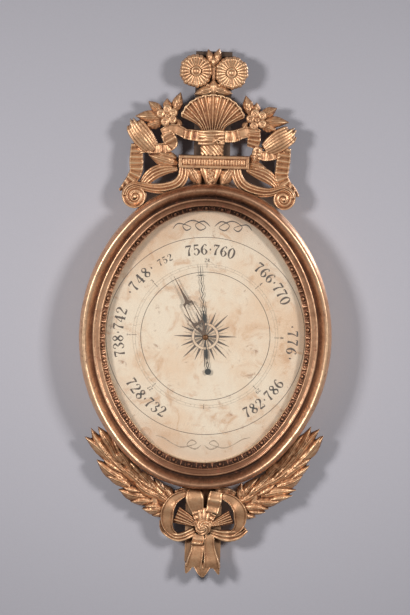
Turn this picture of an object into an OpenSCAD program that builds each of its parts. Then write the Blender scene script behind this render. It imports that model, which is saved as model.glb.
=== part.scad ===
// Oval wall barometer with a siphon tube, a float movement and a carved frame.
// X runs to the right, Z up and -Y out of the wall. The origin lies on the wall behind the arbor.

/* [Oval frame] */
// Width of the oval frame
oval_w = 447; // [420:1:470]
// Height of the oval frame
oval_h = 543; // [515:1:570]
// Angle at which the side arcs of the frame's outline meet its end arcs
joint_angle = 45; // [42:0.5:48]
// Width of the frame's moulding
band_w = 47; // [42:0.5:52]
// Depth of the moulding, from its back to its crest
ring_depth = 46; // [42:0.5:50]
// Width of the rebate that holds the glass and the dial
rebate_w = 8; // [6:0.5:9]

/* [Dial and glass] */
// Thickness of the dial board
board_t = 10; // [8:0.5:11]
// Thickness of the dial paper
paper_t = 0.5; // [0.3:0.1:0.8]
// Space for the hands between the dial and the glass
hand_space = 9.5; // [8:0.5:10]
// Thickness of the glass
glass_t = 2; // [1.5:0.1:2.5]
// Reach of the steel hand from the arbor
steel_hand_r = 128; // [110:1:145]
// Reach of the brass set hand from the arbor
set_hand_r = 122; // [105:1:140]
// Angle of the steel hand at rest, clockwise from the top
steel_hand_angle = -5.4; // [-10:0.1:0]
// Angle of the set hand at rest, clockwise from the top
set_hand_angle = -28.5; // [-40:0.5:-24]
// Thickness of both hands
hand_t = 0.8; // [0.6:0.1:1]

/* [Tube case] */
// Width of the tube case
case_w = 64; // [60:1:68]
// Distance of the case's middle from the arbor
case_x = 4; // [0:0.5:5]
// Depth of the tube case
case_d = 26; // [25:0.5:30]
// Thickness of the front of the case behind the frame
front_t = 6; // [5:0.5:7]
// Width of the channel in the case
channel_w = 40; // [38:1:42]
// Width of the ledge that carries the lids, on each side of the channel
ledge_w = 5; // [4.5:0.1:5.5]
// Thickness of the lids and the door
lid_t = 3.9; // [3.5:0.1:4.2]
// Half height of the door behind the movement
door_z = 110; // [90:1:125]
// Height of the solid head of the case
head_h = 41; // [38:1:50]
// Thickness of the foot of the case
foot_t = 8; // [6:0.5:12]
// Gap round the door and the lids
door_gap = 0.3; // [0.2:0.05:0.5]

/* [Siphon tube] */
// Height of the mercury above the float's level
mercury_head = 760; // [750:1:770]
// Depth of the mercury in the short limb below the arbor
float_drop = 320; // [310:1:330]
// Length of the short limb above that level
short_rise = 90; // [70:1:110]
// Depth of mercury below that level
cistern_depth = 60; // [50:1:70]
// Length of the empty top of the long limb
vacuum_len = 15; // [10:1:25]
// Outer diameter of the tube
tube_od = 9; // [8.5:0.1:9.4]
// Bore of the tube
tube_id = 6; // [5.6:0.1:6.4]
// Distance of the long limb from the middle of the case
long_limb_x = 13; // [12.8:0.1:13.4]
// Distance of the tube from the wall
tube_y = 11; // [10.8:0.1:11.5]

/* [Movement] */
// Rise of mercury for a turn of the hand through one part of the scale
scale_rise = 27.07; // [26.5:0.01:27.5]
// Angle of the hand for that rise
scale_turn = 270; // [265:1:275]
// Diameter of the silk thread
thread_d = 0.5; // [0.4:0.05:0.6]
// Diameter of the arbor
arbor_d = 2; // [1.8:0.1:2.4]
// Clearance round the turning arbors
running_gap = 0.05; // [0.03:0.01:0.08]
// Length of the float and of its counterweight
float_len = 14; // [10:1:20]
// Diameter of the float
float_d = 5; // [4.6:0.1:5.2]
// Diameter of the counterweight
counter_d = 4; // [3.6:0.1:4.2]
// Depth of the counterweight below the arbor at rest
counter_drop = 150; // [120:1:180]

/* [Carving] */
// Thickness of the shallow carving, such as ribbons and leaves
relief = 15; // [12:0.5:18]
// Thickness of the deep carving, such as scrolls and pods
bold_relief = 21; // [18:0.5:25]
// Radius of a daisy
daisy_r = 29; // [26:0.5:30]
// Number of petals of a daisy
daisy_petals = 22; // [18:1:26]
// Number of flutes in the fan
fan_flutes = 12; // [9:1:15]
// Width of a laurel leaf
laurel_leaf_w = 18; // [14:0.5:20]
// Vertical stretch of the bow, its rosette and the drop
foot_stretch = 1.045; // [1:0.005:1.05]

/* [Hanging] */
// Radius of the hanging hole
hang_r = 5; // [4:0.5:6]
// Thickness of the hanging plate
hang_t = 2; // [1.6:0.1:3]

/* [Hidden] */
gilt = [0.72, 0.5, 0.33];
brass = [0.78, 0.62, 0.3];
steel = [0.25, 0.27, 0.32];
pine = [0.55, 0.4, 0.26];
cut = 0.01;
touch = 0.05;

half_w = oval_w / 2;
half_h = oval_h / 2;
arc_shift = (half_h - half_w) / (cos(joint_angle) + sin(joint_angle) - 1);
side_x = arc_shift * cos(joint_angle);
side_r = half_w + side_x;
end_y = arc_shift * sin(joint_angle);
end_r = half_h - end_y;

pulley_r = scale_rise / (scale_turn * PI / 180);
tube_top = mercury_head - float_drop + vacuum_len;
channel_top = tube_top + 7;
case_top = channel_top + head_h;
bend_z = -(float_drop + cistern_depth);
bend_r = (long_limb_x + pulley_r) / 2;
channel_bottom = bend_z - bend_r - tube_od / 2 - 8;
case_bottom = channel_bottom - foot_t;
rebate_half = channel_w / 2 + ledge_w;
lid_depth = lid_t + 0.4;
floor_y = case_d - front_t;

paper_front = case_d + board_t + paper_t;
glass_back = paper_front + hand_space;
glass_front = glass_back + glass_t;
crest_y = case_d + ring_depth;
rebate_off = rebate_w - band_w;
steel_level = paper_front + 4.2;
set_level = paper_front + 7.3;
knob_front = glass_front + 8;

// Turns a shape drawn face up (x right, y up, z out of the wall) to its place on the wall
module front() {
    rotate([90, 0, 0]) children();
}

function arc(c, r, from, to, n) = [for (i = [0:n - 1]) let (a = from + (to - from) * i / n)
    c + r * [cos(a), sin(a)]];

function oval_points(off, n = 20) = concat(
    arc([-side_x, 0], side_r + off, -joint_angle, joint_angle, n),
    arc([0, end_y], end_r + off, joint_angle, 180 - joint_angle, n),
    arc([side_x, 0], side_r + off, 180 - joint_angle, 180 + joint_angle, n),
    arc([0, -end_y], end_r + off, 180 + joint_angle, 360 - joint_angle, n));

// Outline of the frame, moved outwards by off
module oval(off) {
    polygon(oval_points(off));
}

// Centre, radius, first angle and sweep of the four arcs of the oval: right, top, left, bottom
arcs = [[[-side_x, 0], side_r, -joint_angle, 2 * joint_angle],
        [[0, end_y], end_r, joint_angle, 180 - 2 * joint_angle],
        [[side_x, 0], side_r, 180 - joint_angle, 2 * joint_angle],
        [[0, -end_y], end_r, 180 + joint_angle, 180 - 2 * joint_angle]];

// Sweeps a section along one arc; its x is the distance outwards from the frame's edge
module arc_sweep(s, section) {
    translate([s[0][0], s[0][1], 0])
        rotate([0, 0, s[2]])
            rotate_extrude(angle = s[3], $fn = 96)
                polygon([for (p = section) [p[0] + s[1], p[1]]]);
}

// Closed solid through rings of points, from the first ring to the last
module loft(rings) {
    n = len(rings[0]);
    m = len(rings);
    polyhedron(
        points = [for (ring = rings) each ring],
        faces = concat(
            [for (i = [0:m - 2], j = [0:n - 1])
                let (a = i * n + j, b = i * n + (j + 1) % n) each [[a, a + n, b], [b, a + n, b + n]]],
            [[for (j = [0:n - 1]) j], [for (j = [n - 1:-1:0]) (m - 1) * n + j]]));
}

function spline(a, b, c, d, t) = 0.5 * (2 * b + (c - a) * t + (2 * a - 5 * b + 4 * c - d) * t * t
    + (3 * b - a - 3 * c + d) * t * t * t);

// Smooth line through control points, with so many steps from each to the next
function smooth(p, steps) = [for (i = [0:len(p) - 2])
    let (a = p[max(i - 1, 0)], d = p[min(i + 2, len(p) - 1)])
    for (s = [0:steps - 1]) spline(a, p[i], p[i + 1], d, s / steps), p[len(p) - 1]];

// Sections of carved strips: x is a share of the half width, y a share of the thickness
plain = [[-1, 0], [-1, 0.5], [-0.6, 0.88], [0, 1], [0.6, 0.88], [1, 0.5], [1, 0]];
crimped = [[-1, 0], [-1, 0.8], [-0.6, 1], [-0.1, 0.72], [0.4, 1], [1, 0.75], [1, 0]];
function fluted(n) = concat([[-1, 0]], [for (k = [0:2 * n])
    let (x = k / n - 1) [x, (k % 2 == 0 ? 0.62 : 0.88) + 0.12 * (1 - x * x)]], [[1, 0]]);

// Carved strip; each control point is [x, y, width, thickness], on a bed at the given height
module strip(points, section, steps = 3, bed = case_d) {
    path = smooth(points, steps);
    last = len(path) - 1;
    loft([for (i = [0:last])
        let (q = path[i], ahead = path[min(i + 1, last)], behind = path[max(i - 1, 0)],
             t = [ahead[0] - behind[0], ahead[1] - behind[1]],
             side = [t[1], -t[0]] / norm(t) * q[2] / 2)
        [for (u = section) [q[0] + side[0] * u[0], q[1] + side[1] * u[0], bed + u[1] * q[3]]]]);
}

// Control points of a spiral that winds inwards round c
function volute(c, r, from, turn, w, h) = [for (s = [0:0.1:1])
    let (a = from + turn * s, rs = r * (1 - 0.78 * pow(s, 1.4)))
    [c[0] + rs * cos(a), c[1] + rs * sin(a), w * (1 - 0.45 * s), h * (1 + 0.15 * s)]];

// Convex solid round a list of points
module wrap(points) {
    hull() polyhedron(points, [for (i = [0:len(points) - 3]) [i, i + 1, i + 2]]);
}

// Leaf from its base to its tip, with a keel along its middle
module leaf(base, tip, w, h, bed = case_d) {
    along = tip - base;
    side = [along[1], -along[0]] / norm(along) * w / 2;
    function spot(t, u, z) = let (p = base + along * t + side * u) [p[0], p[1], bed + z * h];
    wrap(concat(
        [for (s = [-1, 1], z = [0, 0.55], p = [[0, 0.35], [0.22, 0.85], [0.5, 1], [0.8, 0.5]])
            spot(p[0], p[1] * s, z)],
        [spot(1, 0, 0), spot(1, 0, 0.4), spot(0, 0, 0.75), spot(0.3, 0, 1), spot(0.6, 0, 0.95)]));
}

// Rounded petal from an inner to an outer point, which is the middle of its round end
module petal(inner, outer, w, h, bed) {
    along = (outer - inner) / norm(outer - inner);
    side = [along[1], -along[0]];
    function spot(c, r, a, z) = let (p = c + r * (along * cos(a) + side * sin(a))) [p[0], p[1], bed + z * h];
    wrap(concat(
        [for (a = [90, 270], z = [0, 0.5]) spot(inner, w * 0.2, a, z)],
        [for (a = [-90:45:90], z = [0, 0.6]) spot(outer, w / 2, a, z)],
        [spot(inner, 0, 0, 0.7)], [for (a = [-60, 60]) spot(outer, w * 0.22, a, 1)]));
}

function polar(c, r, a) = c + r * [sin(a), cos(a)];

// Places of the fasteners and bearings
bush_r = 3;
spindle_r = 1.25;
arbor_r = arbor_d / 2;
thread_r = thread_d / 2;
lid_screw_x = (channel_w + ledge_w) / 2;
lid_hole_r = 1.2;
upper_lid_z = [door_z + door_gap, channel_top + ledge_w - door_gap];
lower_lid_z = [channel_bottom - ledge_w + door_gap, -door_z - door_gap];
upper_screws = [upper_lid_z[0] + 12, (upper_lid_z[0] + upper_lid_z[1]) / 2, upper_lid_z[1] - 12];
lower_screws = [lower_lid_z[0] + 12, (lower_lid_z[0] + lower_lid_z[1]) / 2, lower_lid_z[1] - 12];
hang_z = case_top - 18;
plate_size = [30, 28];
plate_screws = [for (x = [-11, 11], z = [-10, 10]) [x, hang_z + z]];
frame_screw_r = 1.75;
frame_screw_in = 10;
frame_screw_at = [for (x = [-14, 14], s = [-1, 1]) [x, s * (half_h - frame_screw_in)]];
plate_angles = [0, 42, 138, 180, 222, 318];
turn_size = [26, 9, 2];
cock_z = 17;
cock_back = tube_y - 5.4;
cock_t = 2;
pulley_t = 3;
flange_r = pulley_r + 1.4;
knuckle_r = 1.9;
knuckle_len = 6;
pin_r = 1;
hinge_x = -(rebate_half - knuckle_r - 0.2);
hinge_y = -(lid_depth - knuckle_r - 0.15);
hinge_z = [-door_z + 30, door_z - 30];
leaf_t = 0.8;
rest_h = 18;
rest_z = [tube_top - 40, door_z + 30];
pair_rest_z = -half_h + frame_screw_in + 5;
strap_t = 0.8;
strap_screw_x = (pulley_r - long_limb_x) / 2 - 1;

// Upright block between two corners given as [x, z] pairs and two depths from the wall
module block(low, high, back, depth) {
    translate([low[0], -depth, low[1]]) cube([high[0] - low[0], depth - back, high[1] - low[1]]);
}

// Round bar along the arbor's direction, between two depths
module bar(r, back, depth, at = [0, 0]) {
    translate([at[0], -back, at[1]]) rotate([90, 0, 0]) cylinder(r = r, h = depth - back, $fn = 48);
}

module tube_case() {
    color(pine) difference() {
        block([case_x - case_w / 2, case_bottom], [case_x + case_w / 2, case_top], 0, case_d);
        block([-channel_w / 2, channel_bottom], [channel_w / 2, channel_top], -1, floor_y);
        block([-rebate_half, channel_bottom - ledge_w], [rebate_half, channel_top + ledge_w], -1, lid_depth);
        bar(bush_r, floor_y - 1, case_d + 1);
        for (z = concat(upper_screws, lower_screws), s = [-1, 1])
            bar(lid_hole_r, 0, lid_depth + 8, [s * lid_screw_x, z]);
        for (p = frame_screw_at) bar(frame_screw_r, floor_y - 1, case_d + 1, p);
        for (s = [-1, 1]) bar(1, floor_y - 1, floor_y + 3, [0, s * cock_z]);
        block([-plate_size[0] / 2, hang_z - plate_size[1] / 2],
              [plate_size[0] / 2, hang_z + plate_size[1] / 2],
              -1, hang_t);
        bar(hang_r + 3, -1, hang_t + 10, [0, hang_z]);
        for (p = plate_screws) bar(lid_hole_r, 0, hang_t + 10, p);
        for (z = hinge_z)
            block([-rebate_half, z - 1.5 * knuckle_len], [-channel_w / 2 - 0.5, z + 1.5 * knuckle_len],
                  lid_depth - 1, lid_depth + leaf_t);
    }
}

module lid(z, screws) {
    difference() {
        block([-rebate_half + door_gap, z[0]], [rebate_half - door_gap, z[1]], lid_depth - lid_t, lid_depth);
        for (h = screws, s = [-1, 1]) {
            bar(lid_hole_r + 0.1, -1, lid_depth + 1, [s * lid_screw_x, h]);
            bar(2.1, -1, lid_depth - lid_t + 1, [s * lid_screw_x, h]);
        }
    }
}

module upper_lid() {
    color(pine) lid(upper_lid_z, upper_screws);
}

module lower_lid() {
    color(pine) lid(lower_lid_z, lower_screws);
}

module wood_screw(head_r, shank_r, back, head_t, len, at) {
    bar(head_r, back, back + head_t, at);
    bar(shank_r, back + head_t / 2, back + head_t + len, at);
}

module lid_screws() {
    color(brass) for (z = concat(upper_screws, lower_screws), s = [-1, 1])
        wood_screw(2.1, lid_hole_r, lid_depth - lid_t + 0.1, 0.9, 10, [s * lid_screw_x, z]);
}

module hanging_plate() {
    color(steel) difference() {
        block([-plate_size[0] / 2, hang_z - plate_size[1] / 2],
              [plate_size[0] / 2, hang_z + plate_size[1] / 2],
              0, hang_t);
        bar(hang_r, -1, hang_t + 1, [0, hang_z]);
        for (p = plate_screws) {
            bar(lid_hole_r, -1, hang_t + 1, p);
            bar(2.1, -1, hang_t / 2, p);
        }
    }
}

module hanging_screws() {
    color(steel) for (p = plate_screws) wood_screw(2.1, lid_hole_r, hang_t / 2 - 0.9, 0.9, 9, p);
}

// Section of the frame, from its outer edge inwards, as distance in and depth below the crest
band_start = band_w - 9;
swell = [[0, 15], [0.8, 11], [2.2, 7], [4.2, 3.4], [6.2, 1], [8.5, 0], [11, 0.8], [14, 3.4], [17, 7.4],
         [19.5, 11.2], [21.4, 13.4], [22.6, 14], [23.6, 12], [24.6, 10.2], [28, 10], [29, 11.4]];

section = concat([[0, case_d]], [for (q = swell) [-q[0], crest_y - q[1]]], [
    [-(band_start - 3), crest_y - 12.4], [-(band_start - 2), crest_y - 12],
    [-band_start, crest_y - 13], [-band_start - 0.5, crest_y - 15.5], [-band_start - 3.5, crest_y - 15],
    [-band_w + 2, crest_y - 18.5], [-band_w, crest_y - 20.5],
    [-band_w, glass_front], [rebate_off, glass_front], [rebate_off, case_d]]);

// One of the four glued pieces that the frame is made of
module frame_segment(s) {
    color(gilt) difference() {
        front() arc_sweep(s, section);
        for (p = frame_screw_at) bar(frame_screw_r, case_d - 1, case_d + 15, p);
        for (a = plate_angles) bar(lid_hole_r, case_d - 1, case_d + 9, turn_at(a, 7));
    }
}

module frame_right() {
    frame_segment(arcs[0]);
}

module frame_top() {
    frame_segment(arcs[1]);
}

module frame_left() {
    frame_segment(arcs[2]);
}

module frame_bottom() {
    frame_segment(arcs[3]);
}

// Flat oval plate between two depths
module oval_plate(off, back, depth) {
    translate([0, -back, 0]) front() linear_extrude(depth - back) oval(off);
}

module dial_glass() {
    color([0.8, 0.88, 0.86, 0.3]) difference() {
        oval_plate(rebate_off - 0.4, glass_back, glass_front);
        bar(spindle_r + 1.25, glass_back - 1, glass_front + 1);
    }
}

module glass_bush() {
    color(brass) difference() {
        union() {
            bar(spindle_r + 1.25, glass_back - 0.8, glass_front + 0.8);
            bar(spindle_r + 3.25, glass_back - 0.8, glass_back);
            bar(spindle_r + 3.25, glass_front, glass_front + 0.8);
        }
        bar(spindle_r + running_gap, glass_back - 2, glass_front + 2);
    }
}

module glass_spacer() {
    color([0.9, 0.84, 0.7]) difference() {
        oval_plate(rebate_off - 0.4, paper_front, glass_back);
        oval_plate(-band_w + 1, paper_front - 1, glass_back + 1);
    }
}

module dial_paper() {
    color([0.94, 0.89, 0.76]) difference() {
        oval_plate(rebate_off - 0.4, case_d + board_t, paper_front);
        bar(bush_r, case_d, paper_front + 1);
    }
}

module dial_board() {
    color(pine) difference() {
        oval_plate(rebate_off - 0.4, case_d, case_d + board_t);
        bar(bush_r, case_d - 1, case_d + board_t + 1);
    }
}

// Place on the rebate's edge at an angle from the X axis, moved outwards by r
function turn_at(a, r) = [(half_w + rebate_off + r) * cos(a), (half_h + rebate_off + r) * sin(a)];

module turn_plates() {
    color(brass) for (a = plate_angles) difference() {
        translate([turn_at(a, 0)[0], -case_d, turn_at(a, 0)[1]]) rotate([0, -a, 0])
            translate([-turn_size[0] / 2, 0, -turn_size[1] / 2])
                cube([turn_size[0], turn_size[2], turn_size[1]]);
        bar(lid_hole_r, case_d - turn_size[2] - 1, case_d + 1, turn_at(a, 7));
    }
}

module turn_screws() {
    color(brass) for (a = plate_angles)
        wood_screw(2.4, lid_hole_r, case_d - turn_size[2] - 1, 1, 10, turn_at(a, 7));
}

module frame_screws() {
    color(steel) for (p = frame_screw_at) wood_screw(3.2, frame_screw_r, floor_y - 1.2, 1.2, 20, p);
}

module arbor_bush() {
    color(brass) difference() {
        bar(bush_r, floor_y, paper_front);
        bar(arbor_r + running_gap, floor_y - 1, paper_front + 1);
    }
}

module arbor_cock() {
    color(brass) difference() {
        union() {
            block([-4.5, -cock_z - 4], [4.5, cock_z + 4], cock_back, cock_back + cock_t);
            for (s = [-1, 1])
                block([-4.5, s * cock_z - 4], [4.5, s * cock_z + 4], cock_back + cock_t - cut, floor_y);
        }
        bar(arbor_r + running_gap, cock_back - 1, cock_back + cock_t + 1);
        for (s = [-1, 1]) bar(1, cock_back - 1, floor_y + 1, [0, s * cock_z]);
    }
}

module cock_screws() {
    color(steel) for (s = [-1, 1])
        wood_screw(2, 1, cock_back - 0.8, 0.8, floor_y + 3 - cock_back, [0, s * cock_z]);
}

module arbor() {
    color(steel) bar(arbor_r, cock_back - 0.2, steel_level + 1.6);
}

module pulley() {
    color(brass) difference() {
        union() {
            bar(pulley_r - thread_r, tube_y - pulley_t / 2, tube_y + pulley_t / 2);
            bar(flange_r, tube_y - pulley_t / 2, tube_y - 0.5);
            bar(flange_r, tube_y + 0.5, tube_y + pulley_t / 2);
        }
        bar(arbor_r, tube_y - pulley_t, tube_y + pulley_t);
    }
}

module thread_winding() {
    color([0.75, 0.7, 0.55]) translate([0, -tube_y, 0]) rotate([90, 0, 0])
        rotate_extrude($fn = 64) translate([pulley_r, 0]) circle(r = thread_r, $fn = 24);
}

// Outline of the steel hand, drawn upright: a wavy blade with a cross near its tip and a disc on its tail
hand_tail = 63;
disc_r = 5.7;
wave = [for (s = [-1:0.05:1]) let (y = s > 0 ? s * (steel_hand_r - 12) : s * (hand_tail - disc_r + 1))
    [2.2 * sin(s * 540) * (1 - abs(s)), y, 2.6 - 1.3 * abs(s)]];

module steel_hand() {
    color(steel) translate([0, -steel_level, 0]) front() rotate([0, 0, -steel_hand_angle])
        difference() {
            union() {
                linear_extrude(hand_t) {
                    polygon(concat([for (w = wave) [w[0] + w[2] / 2, w[1]]], [[0, steel_hand_r]],
                        [for (i = [len(wave) - 1:-1:0]) [wave[i][0] - wave[i][2] / 2, wave[i][1]]]));
                    translate([0, steel_hand_r - 18]) square([9, 1.4], center = true);
                    translate([0, -hand_tail]) circle(r = disc_r, $fn = 48);
                }
                cylinder(r = 4, h = hand_t + 0.5, $fn = 48);
            }
            translate([0, 0, -1]) cylinder(r = arbor_r, h = 4, $fn = 32);
        }
}

// Brass set hand: a wedge at the arbor, two arms with an opening between them, shoulders and a spear
shoulder_r = 68;
arms_r = 25;

module set_hand() {
    color(brass) translate([0, -set_level, 0]) front() rotate([0, 0, -set_hand_angle])
        difference() {
            union() {
                cylinder(r = 6, h = hand_t, $fn = 48);
                linear_extrude(hand_t) polygon([
                    [-3, 0], [-10, arms_r], [-8, shoulder_r], [-4, shoulder_r + 3], [-1.8, shoulder_r + 8],
                         [-0.5, set_hand_r], [0.5, set_hand_r], [1.8, shoulder_r + 8], [4, shoulder_r + 3],
                         [8, shoulder_r], [10, arms_r], [3, 0]]);
            }
            translate([0, 0, -1]) linear_extrude(hand_t + 2)
                polygon([[-7.6, arms_r + 2], [-6, shoulder_r - 3], [6, shoulder_r - 3], [7.6, arms_r + 2]]);
            translate([0, 0, -1]) cylinder(r = spindle_r, h = 4, $fn = 32);
        }
}

module set_knob() {
    color(brass) {
        bar(spindle_r, set_level - 0.3, glass_front + 2);
        bar(4.5, glass_front + 1.2, knob_front);
    }
}

// Lower half of a ring in the tube's plane, of a rod with radius r
module bend(r) {
    translate([(pulley_r - long_limb_x) / 2, -tube_y, bend_z]) front() rotate([0, 0, 180])
        rotate_extrude(angle = 180, $fn = 96) translate([bend_r, 0]) circle(r = r, $fn = 48);
}

module limb(x, r, from, to) {
    translate([x, -tube_y, from]) cylinder(r = r, h = to - from, $fn = 48);
}

module siphon_tube() {
    short_top = -float_drop + short_rise;
    color([0.8, 0.88, 0.86, 0.35]) {
        difference() {
            limb(-long_limb_x, tube_od / 2, bend_z, tube_top + 3);
            limb(-long_limb_x, tube_id / 2, bend_z - 1, tube_top);
        }
        difference() {
            bend(tube_od / 2);
            bend(tube_id / 2);
        }
        difference() {
            limb(pulley_r, tube_od / 2, bend_z, short_top);
            limb(pulley_r, tube_id / 2, bend_z - 1, short_top + 1);
        }
    }
}

module mercury_column() {
    color([0.8, 0.8, 0.82]) {
        limb(-long_limb_x, tube_id / 2, bend_z, mercury_head - float_drop);
        bend(tube_id / 2);
    }
}

module mercury_short_limb() {
    color([0.8, 0.8, 0.82]) limb(pulley_r, tube_id / 2, bend_z, -float_drop);
}

module tube_rests() {
    color(pine) {
        for (z = rest_z) difference() {
            block([-channel_w / 2, z], [0, z + rest_h], tube_y, floor_y);
            limb(-long_limb_x, tube_od / 2, z - 1, z + rest_h + 1);
            bar(0.9, tube_y - 1, floor_y + 1, [strap_screw_x, z + rest_h / 2]);
        }
        difference() {
            block([-channel_w / 2, pair_rest_z], [channel_w / 2, pair_rest_z + rest_h], tube_y, floor_y);
            for (x = [-long_limb_x, pulley_r])
                limb(x, tube_od / 2, pair_rest_z - 1, pair_rest_z + rest_h + 1);
            bar(0.9, tube_y - 1, floor_y + 1, [strap_screw_x, pair_rest_z + rest_h / 2]);
        }
    }
}

module saddle(x, z) {
    translate([x, -tube_y, z]) rotate_extrude(angle = 180, $fn = 64)
        translate([tube_od / 2, 0]) square([strap_t, rest_h - 6]);
}

module tube_straps() {
    ring_r = tube_od / 2 + strap_t - cut;
    color(brass) {
        for (z = rest_z) difference() {
            union() {
                saddle(-long_limb_x, z + 3);
                block([-long_limb_x + ring_r - 0.5, z + 3], [-1, z + rest_h - 3], tube_y - strap_t, tube_y);
            }
            bar(0.9, tube_y - 2, tube_y + 1, [strap_screw_x, z + rest_h / 2]);
            limb(-long_limb_x, tube_od / 2, z, z + rest_h);
        }
        difference() {
            union() {
                for (x = [-long_limb_x, pulley_r]) saddle(x, pair_rest_z + 3);
                block([-long_limb_x + ring_r - 0.5, pair_rest_z + 3],
                      [pulley_r - ring_r + 0.5, pair_rest_z + rest_h - 3], tube_y - strap_t, tube_y);
            }
            bar(0.9, tube_y - 2, tube_y + 1, [strap_screw_x, pair_rest_z + rest_h / 2]);
            for (x = [-long_limb_x, pulley_r]) limb(x, tube_od / 2, pair_rest_z, pair_rest_z + rest_h);
        }
    }
}

module strap_screws() {
    color(steel) for (z = concat(rest_z, [pair_rest_z]))
        wood_screw(1.8, 0.9, tube_y - strap_t - 0.8, 0.8, 9, [strap_screw_x, z + rest_h / 2]);
}

module float() {
    color([0.85, 0.85, 0.8]) limb(pulley_r, float_d / 2, -float_drop, -float_drop + float_len);
}

module counterweight() {
    color(brass) limb(-pulley_r, counter_d / 2, -counter_drop - float_len, -counter_drop);
}

// Both threads leave the pulley's groove just below its middle
module float_thread() {
    color([0.75, 0.7, 0.55]) limb(pulley_r, thread_r, -float_drop + float_len, -2.5);
}

module counter_thread() {
    color([0.75, 0.7, 0.55]) limb(-pulley_r, thread_r, -counter_drop, -2.5);
}

module back_door() {
    door_x = [hinge_x + knuckle_r + 0.4, rebate_half - door_gap];
    color(pine) difference() {
        block([door_x[0], -door_z + door_gap], [door_x[1], door_z - door_gap], lid_depth - lid_t, lid_depth);
        for (z = hinge_z)
            block([door_x[0] - 1, z - 1.5 * knuckle_len], [hinge_x + 11, z + 1.5 * knuckle_len],
                  lid_depth - 0.15 - leaf_t, lid_depth + 1);
        translate([door_x[1], 1, 0]) front() cylinder(r = 9, h = 2.5 + lid_depth - lid_t, $fn = 48);
    }
}

module door_knuckles() {
    half = knuckle_len / 2 - 0.1;
    back = lid_depth - 0.15 - leaf_t;
    color(brass) for (z = hinge_z) difference() {
        union() {
            translate([hinge_x, hinge_y, z - half]) cylinder(r = knuckle_r, h = 2 * half, $fn = 48);
            block([hinge_x, z - half], [hinge_x + knuckle_r + 1, z + half], back, lid_depth - 0.15);
            block([hinge_x + knuckle_r + 0.4, z - 1.5 * knuckle_len], [hinge_x + 11, z + 1.5 * knuckle_len],
                  back, lid_depth - 0.15);
        }
        translate([hinge_x, hinge_y, z - half - 1])
            cylinder(r = pin_r + running_gap, h = 2 * half + 2, $fn = 48);
    }
}

module hinge_leaves() {
    color(brass) for (z = hinge_z) {
        ends = [[z - 1.5 * knuckle_len, z - knuckle_len / 2], [z + knuckle_len / 2, z + 1.5 * knuckle_len]];
        difference() {
            union() {
                block([-rebate_half, ends[0][0]], [-channel_w / 2 - 0.5, ends[1][1]],
                      lid_depth, lid_depth + leaf_t);
                for (e = ends) {
                    translate([hinge_x, hinge_y, e[0]]) cylinder(r = knuckle_r, h = e[1] - e[0], $fn = 48);
                    block([hinge_x - 1.6, e[0]], [hinge_x, e[1]], -hinge_y, lid_depth + cut);
                }
            }
            translate([hinge_x, hinge_y, ends[0][0] - 1])
                cylinder(r = pin_r, h = 3 * knuckle_len + 2, $fn = 48);
        }
    }
}

module hinge_pins() {
    color(steel) for (z = hinge_z)
        translate([hinge_x, hinge_y, z - 1.5 * knuckle_len])
            cylinder(r = pin_r, h = 3 * knuckle_len, $fn = 48);
}

// Places of the carving: those of the crest count from the top of the frame, those of the foot from
// its bottom
plinth_low = [-57, 28];
plinth_high = [67, 51];
plinth_t = 24;
column_x = [-20, 27];
binding_y = 70;
fan_c = [4, 92];
fan_r = 69;
fan_spread = 54;
crest_foot_x = [-34, 39];
daisy_c = [[-27, 198], [35, 196]];
blossom_c = [[-76, 120], [82, 116]];
blossom_r = 17;
volute_c = [[-130, -24], [131, -28]];
volute_r = 18;
rosette_c = [4, -68];
rosette_r = 15.5;
drop_top = -82;

module crest() {
    translate([0, half_h, 0]) children();
}

module foot() {
    translate([0, -half_h, 0]) children();
}

// Space in front of the case, where carving may stand outside the frame
module carved() {
    color(gilt) front() difference() {
        intersection() {
            children();
            translate([-half_w, -half_h * 2, case_d]) cube([oval_w, half_h * 4, ring_depth]);
        }
        translate([0, 0, case_d - 1]) linear_extrude(ring_depth + 2) polygon(oval_points(touch, 60));
    }
}

module column_space() {
    translate([column_x[0], plinth_high[1], case_d - 1])
        cube([column_x[1] - column_x[0], fan_c[1] - plinth_high[1] + 6, ring_depth]);
    translate([crest_foot_x[0], -10, case_d - 1])
        cube([crest_foot_x[1] - crest_foot_x[0], plinth_low[1] + 10, ring_depth]);
}

module plinth_space() {
    translate([plinth_low[0], plinth_low[1], case_d - 1])
        cube([plinth_high[0] - plinth_low[0], plinth_high[1] - plinth_low[1], ring_depth]);
}

module fan_space() {
    translate([fan_c[0], fan_c[1], case_d - 1]) linear_extrude(ring_depth)
        polygon(concat([[-21, 5], [21, 5]],
            [for (a = [-fan_spread - 4:4:fan_spread + 4]) polar([0, 0], fan_r, -a)]));
}

module crest_fan() {
    column_w = column_x[1] - column_x[0];
    carved() crest() difference() {
        union() {
            for (k = [0:fan_flutes - 1]) let (s = (k + 0.5) / fan_flutes * 2 - 1)
                petal([fan_c[0] + s * 17, fan_c[1] + 5], polar(fan_c, fan_r - 13, s * fan_spread * 0.94),
                      fan_r * 1.9 / fan_flutes + 1, bold_relief, case_d);
            strip([for (a = [-fan_spread:18:fan_spread])
                let (p = polar(fan_c, fan_r - 5.5, a)) [p[0], p[1], 9, bold_relief + 3]], plain, 3);
            translate([column_x[0] + 3, plinth_high[1], case_d])
                cube([column_w - 6, fan_c[1] - plinth_high[1] + 6, bold_relief - 6]);
            for (k = [0:3])
                translate([column_x[0], binding_y + 3.5 + 7 * k, case_d + bold_relief - 8])
                    rotate([0, 90, 0]) cylinder(r = 4, h = column_w, $fn = 10);
            for (k = [0:3])
                translate([column_x[0] + 7.5 + 10.5 * k, plinth_high[1] + 9, case_d + bold_relief - 8])
                    rotate([-90, 0, (k - 1.5) * 6]) cylinder(r = 5.5, h = 22, center = true, $fn = 8);
        }
        plinth_space();
    }
}

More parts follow.
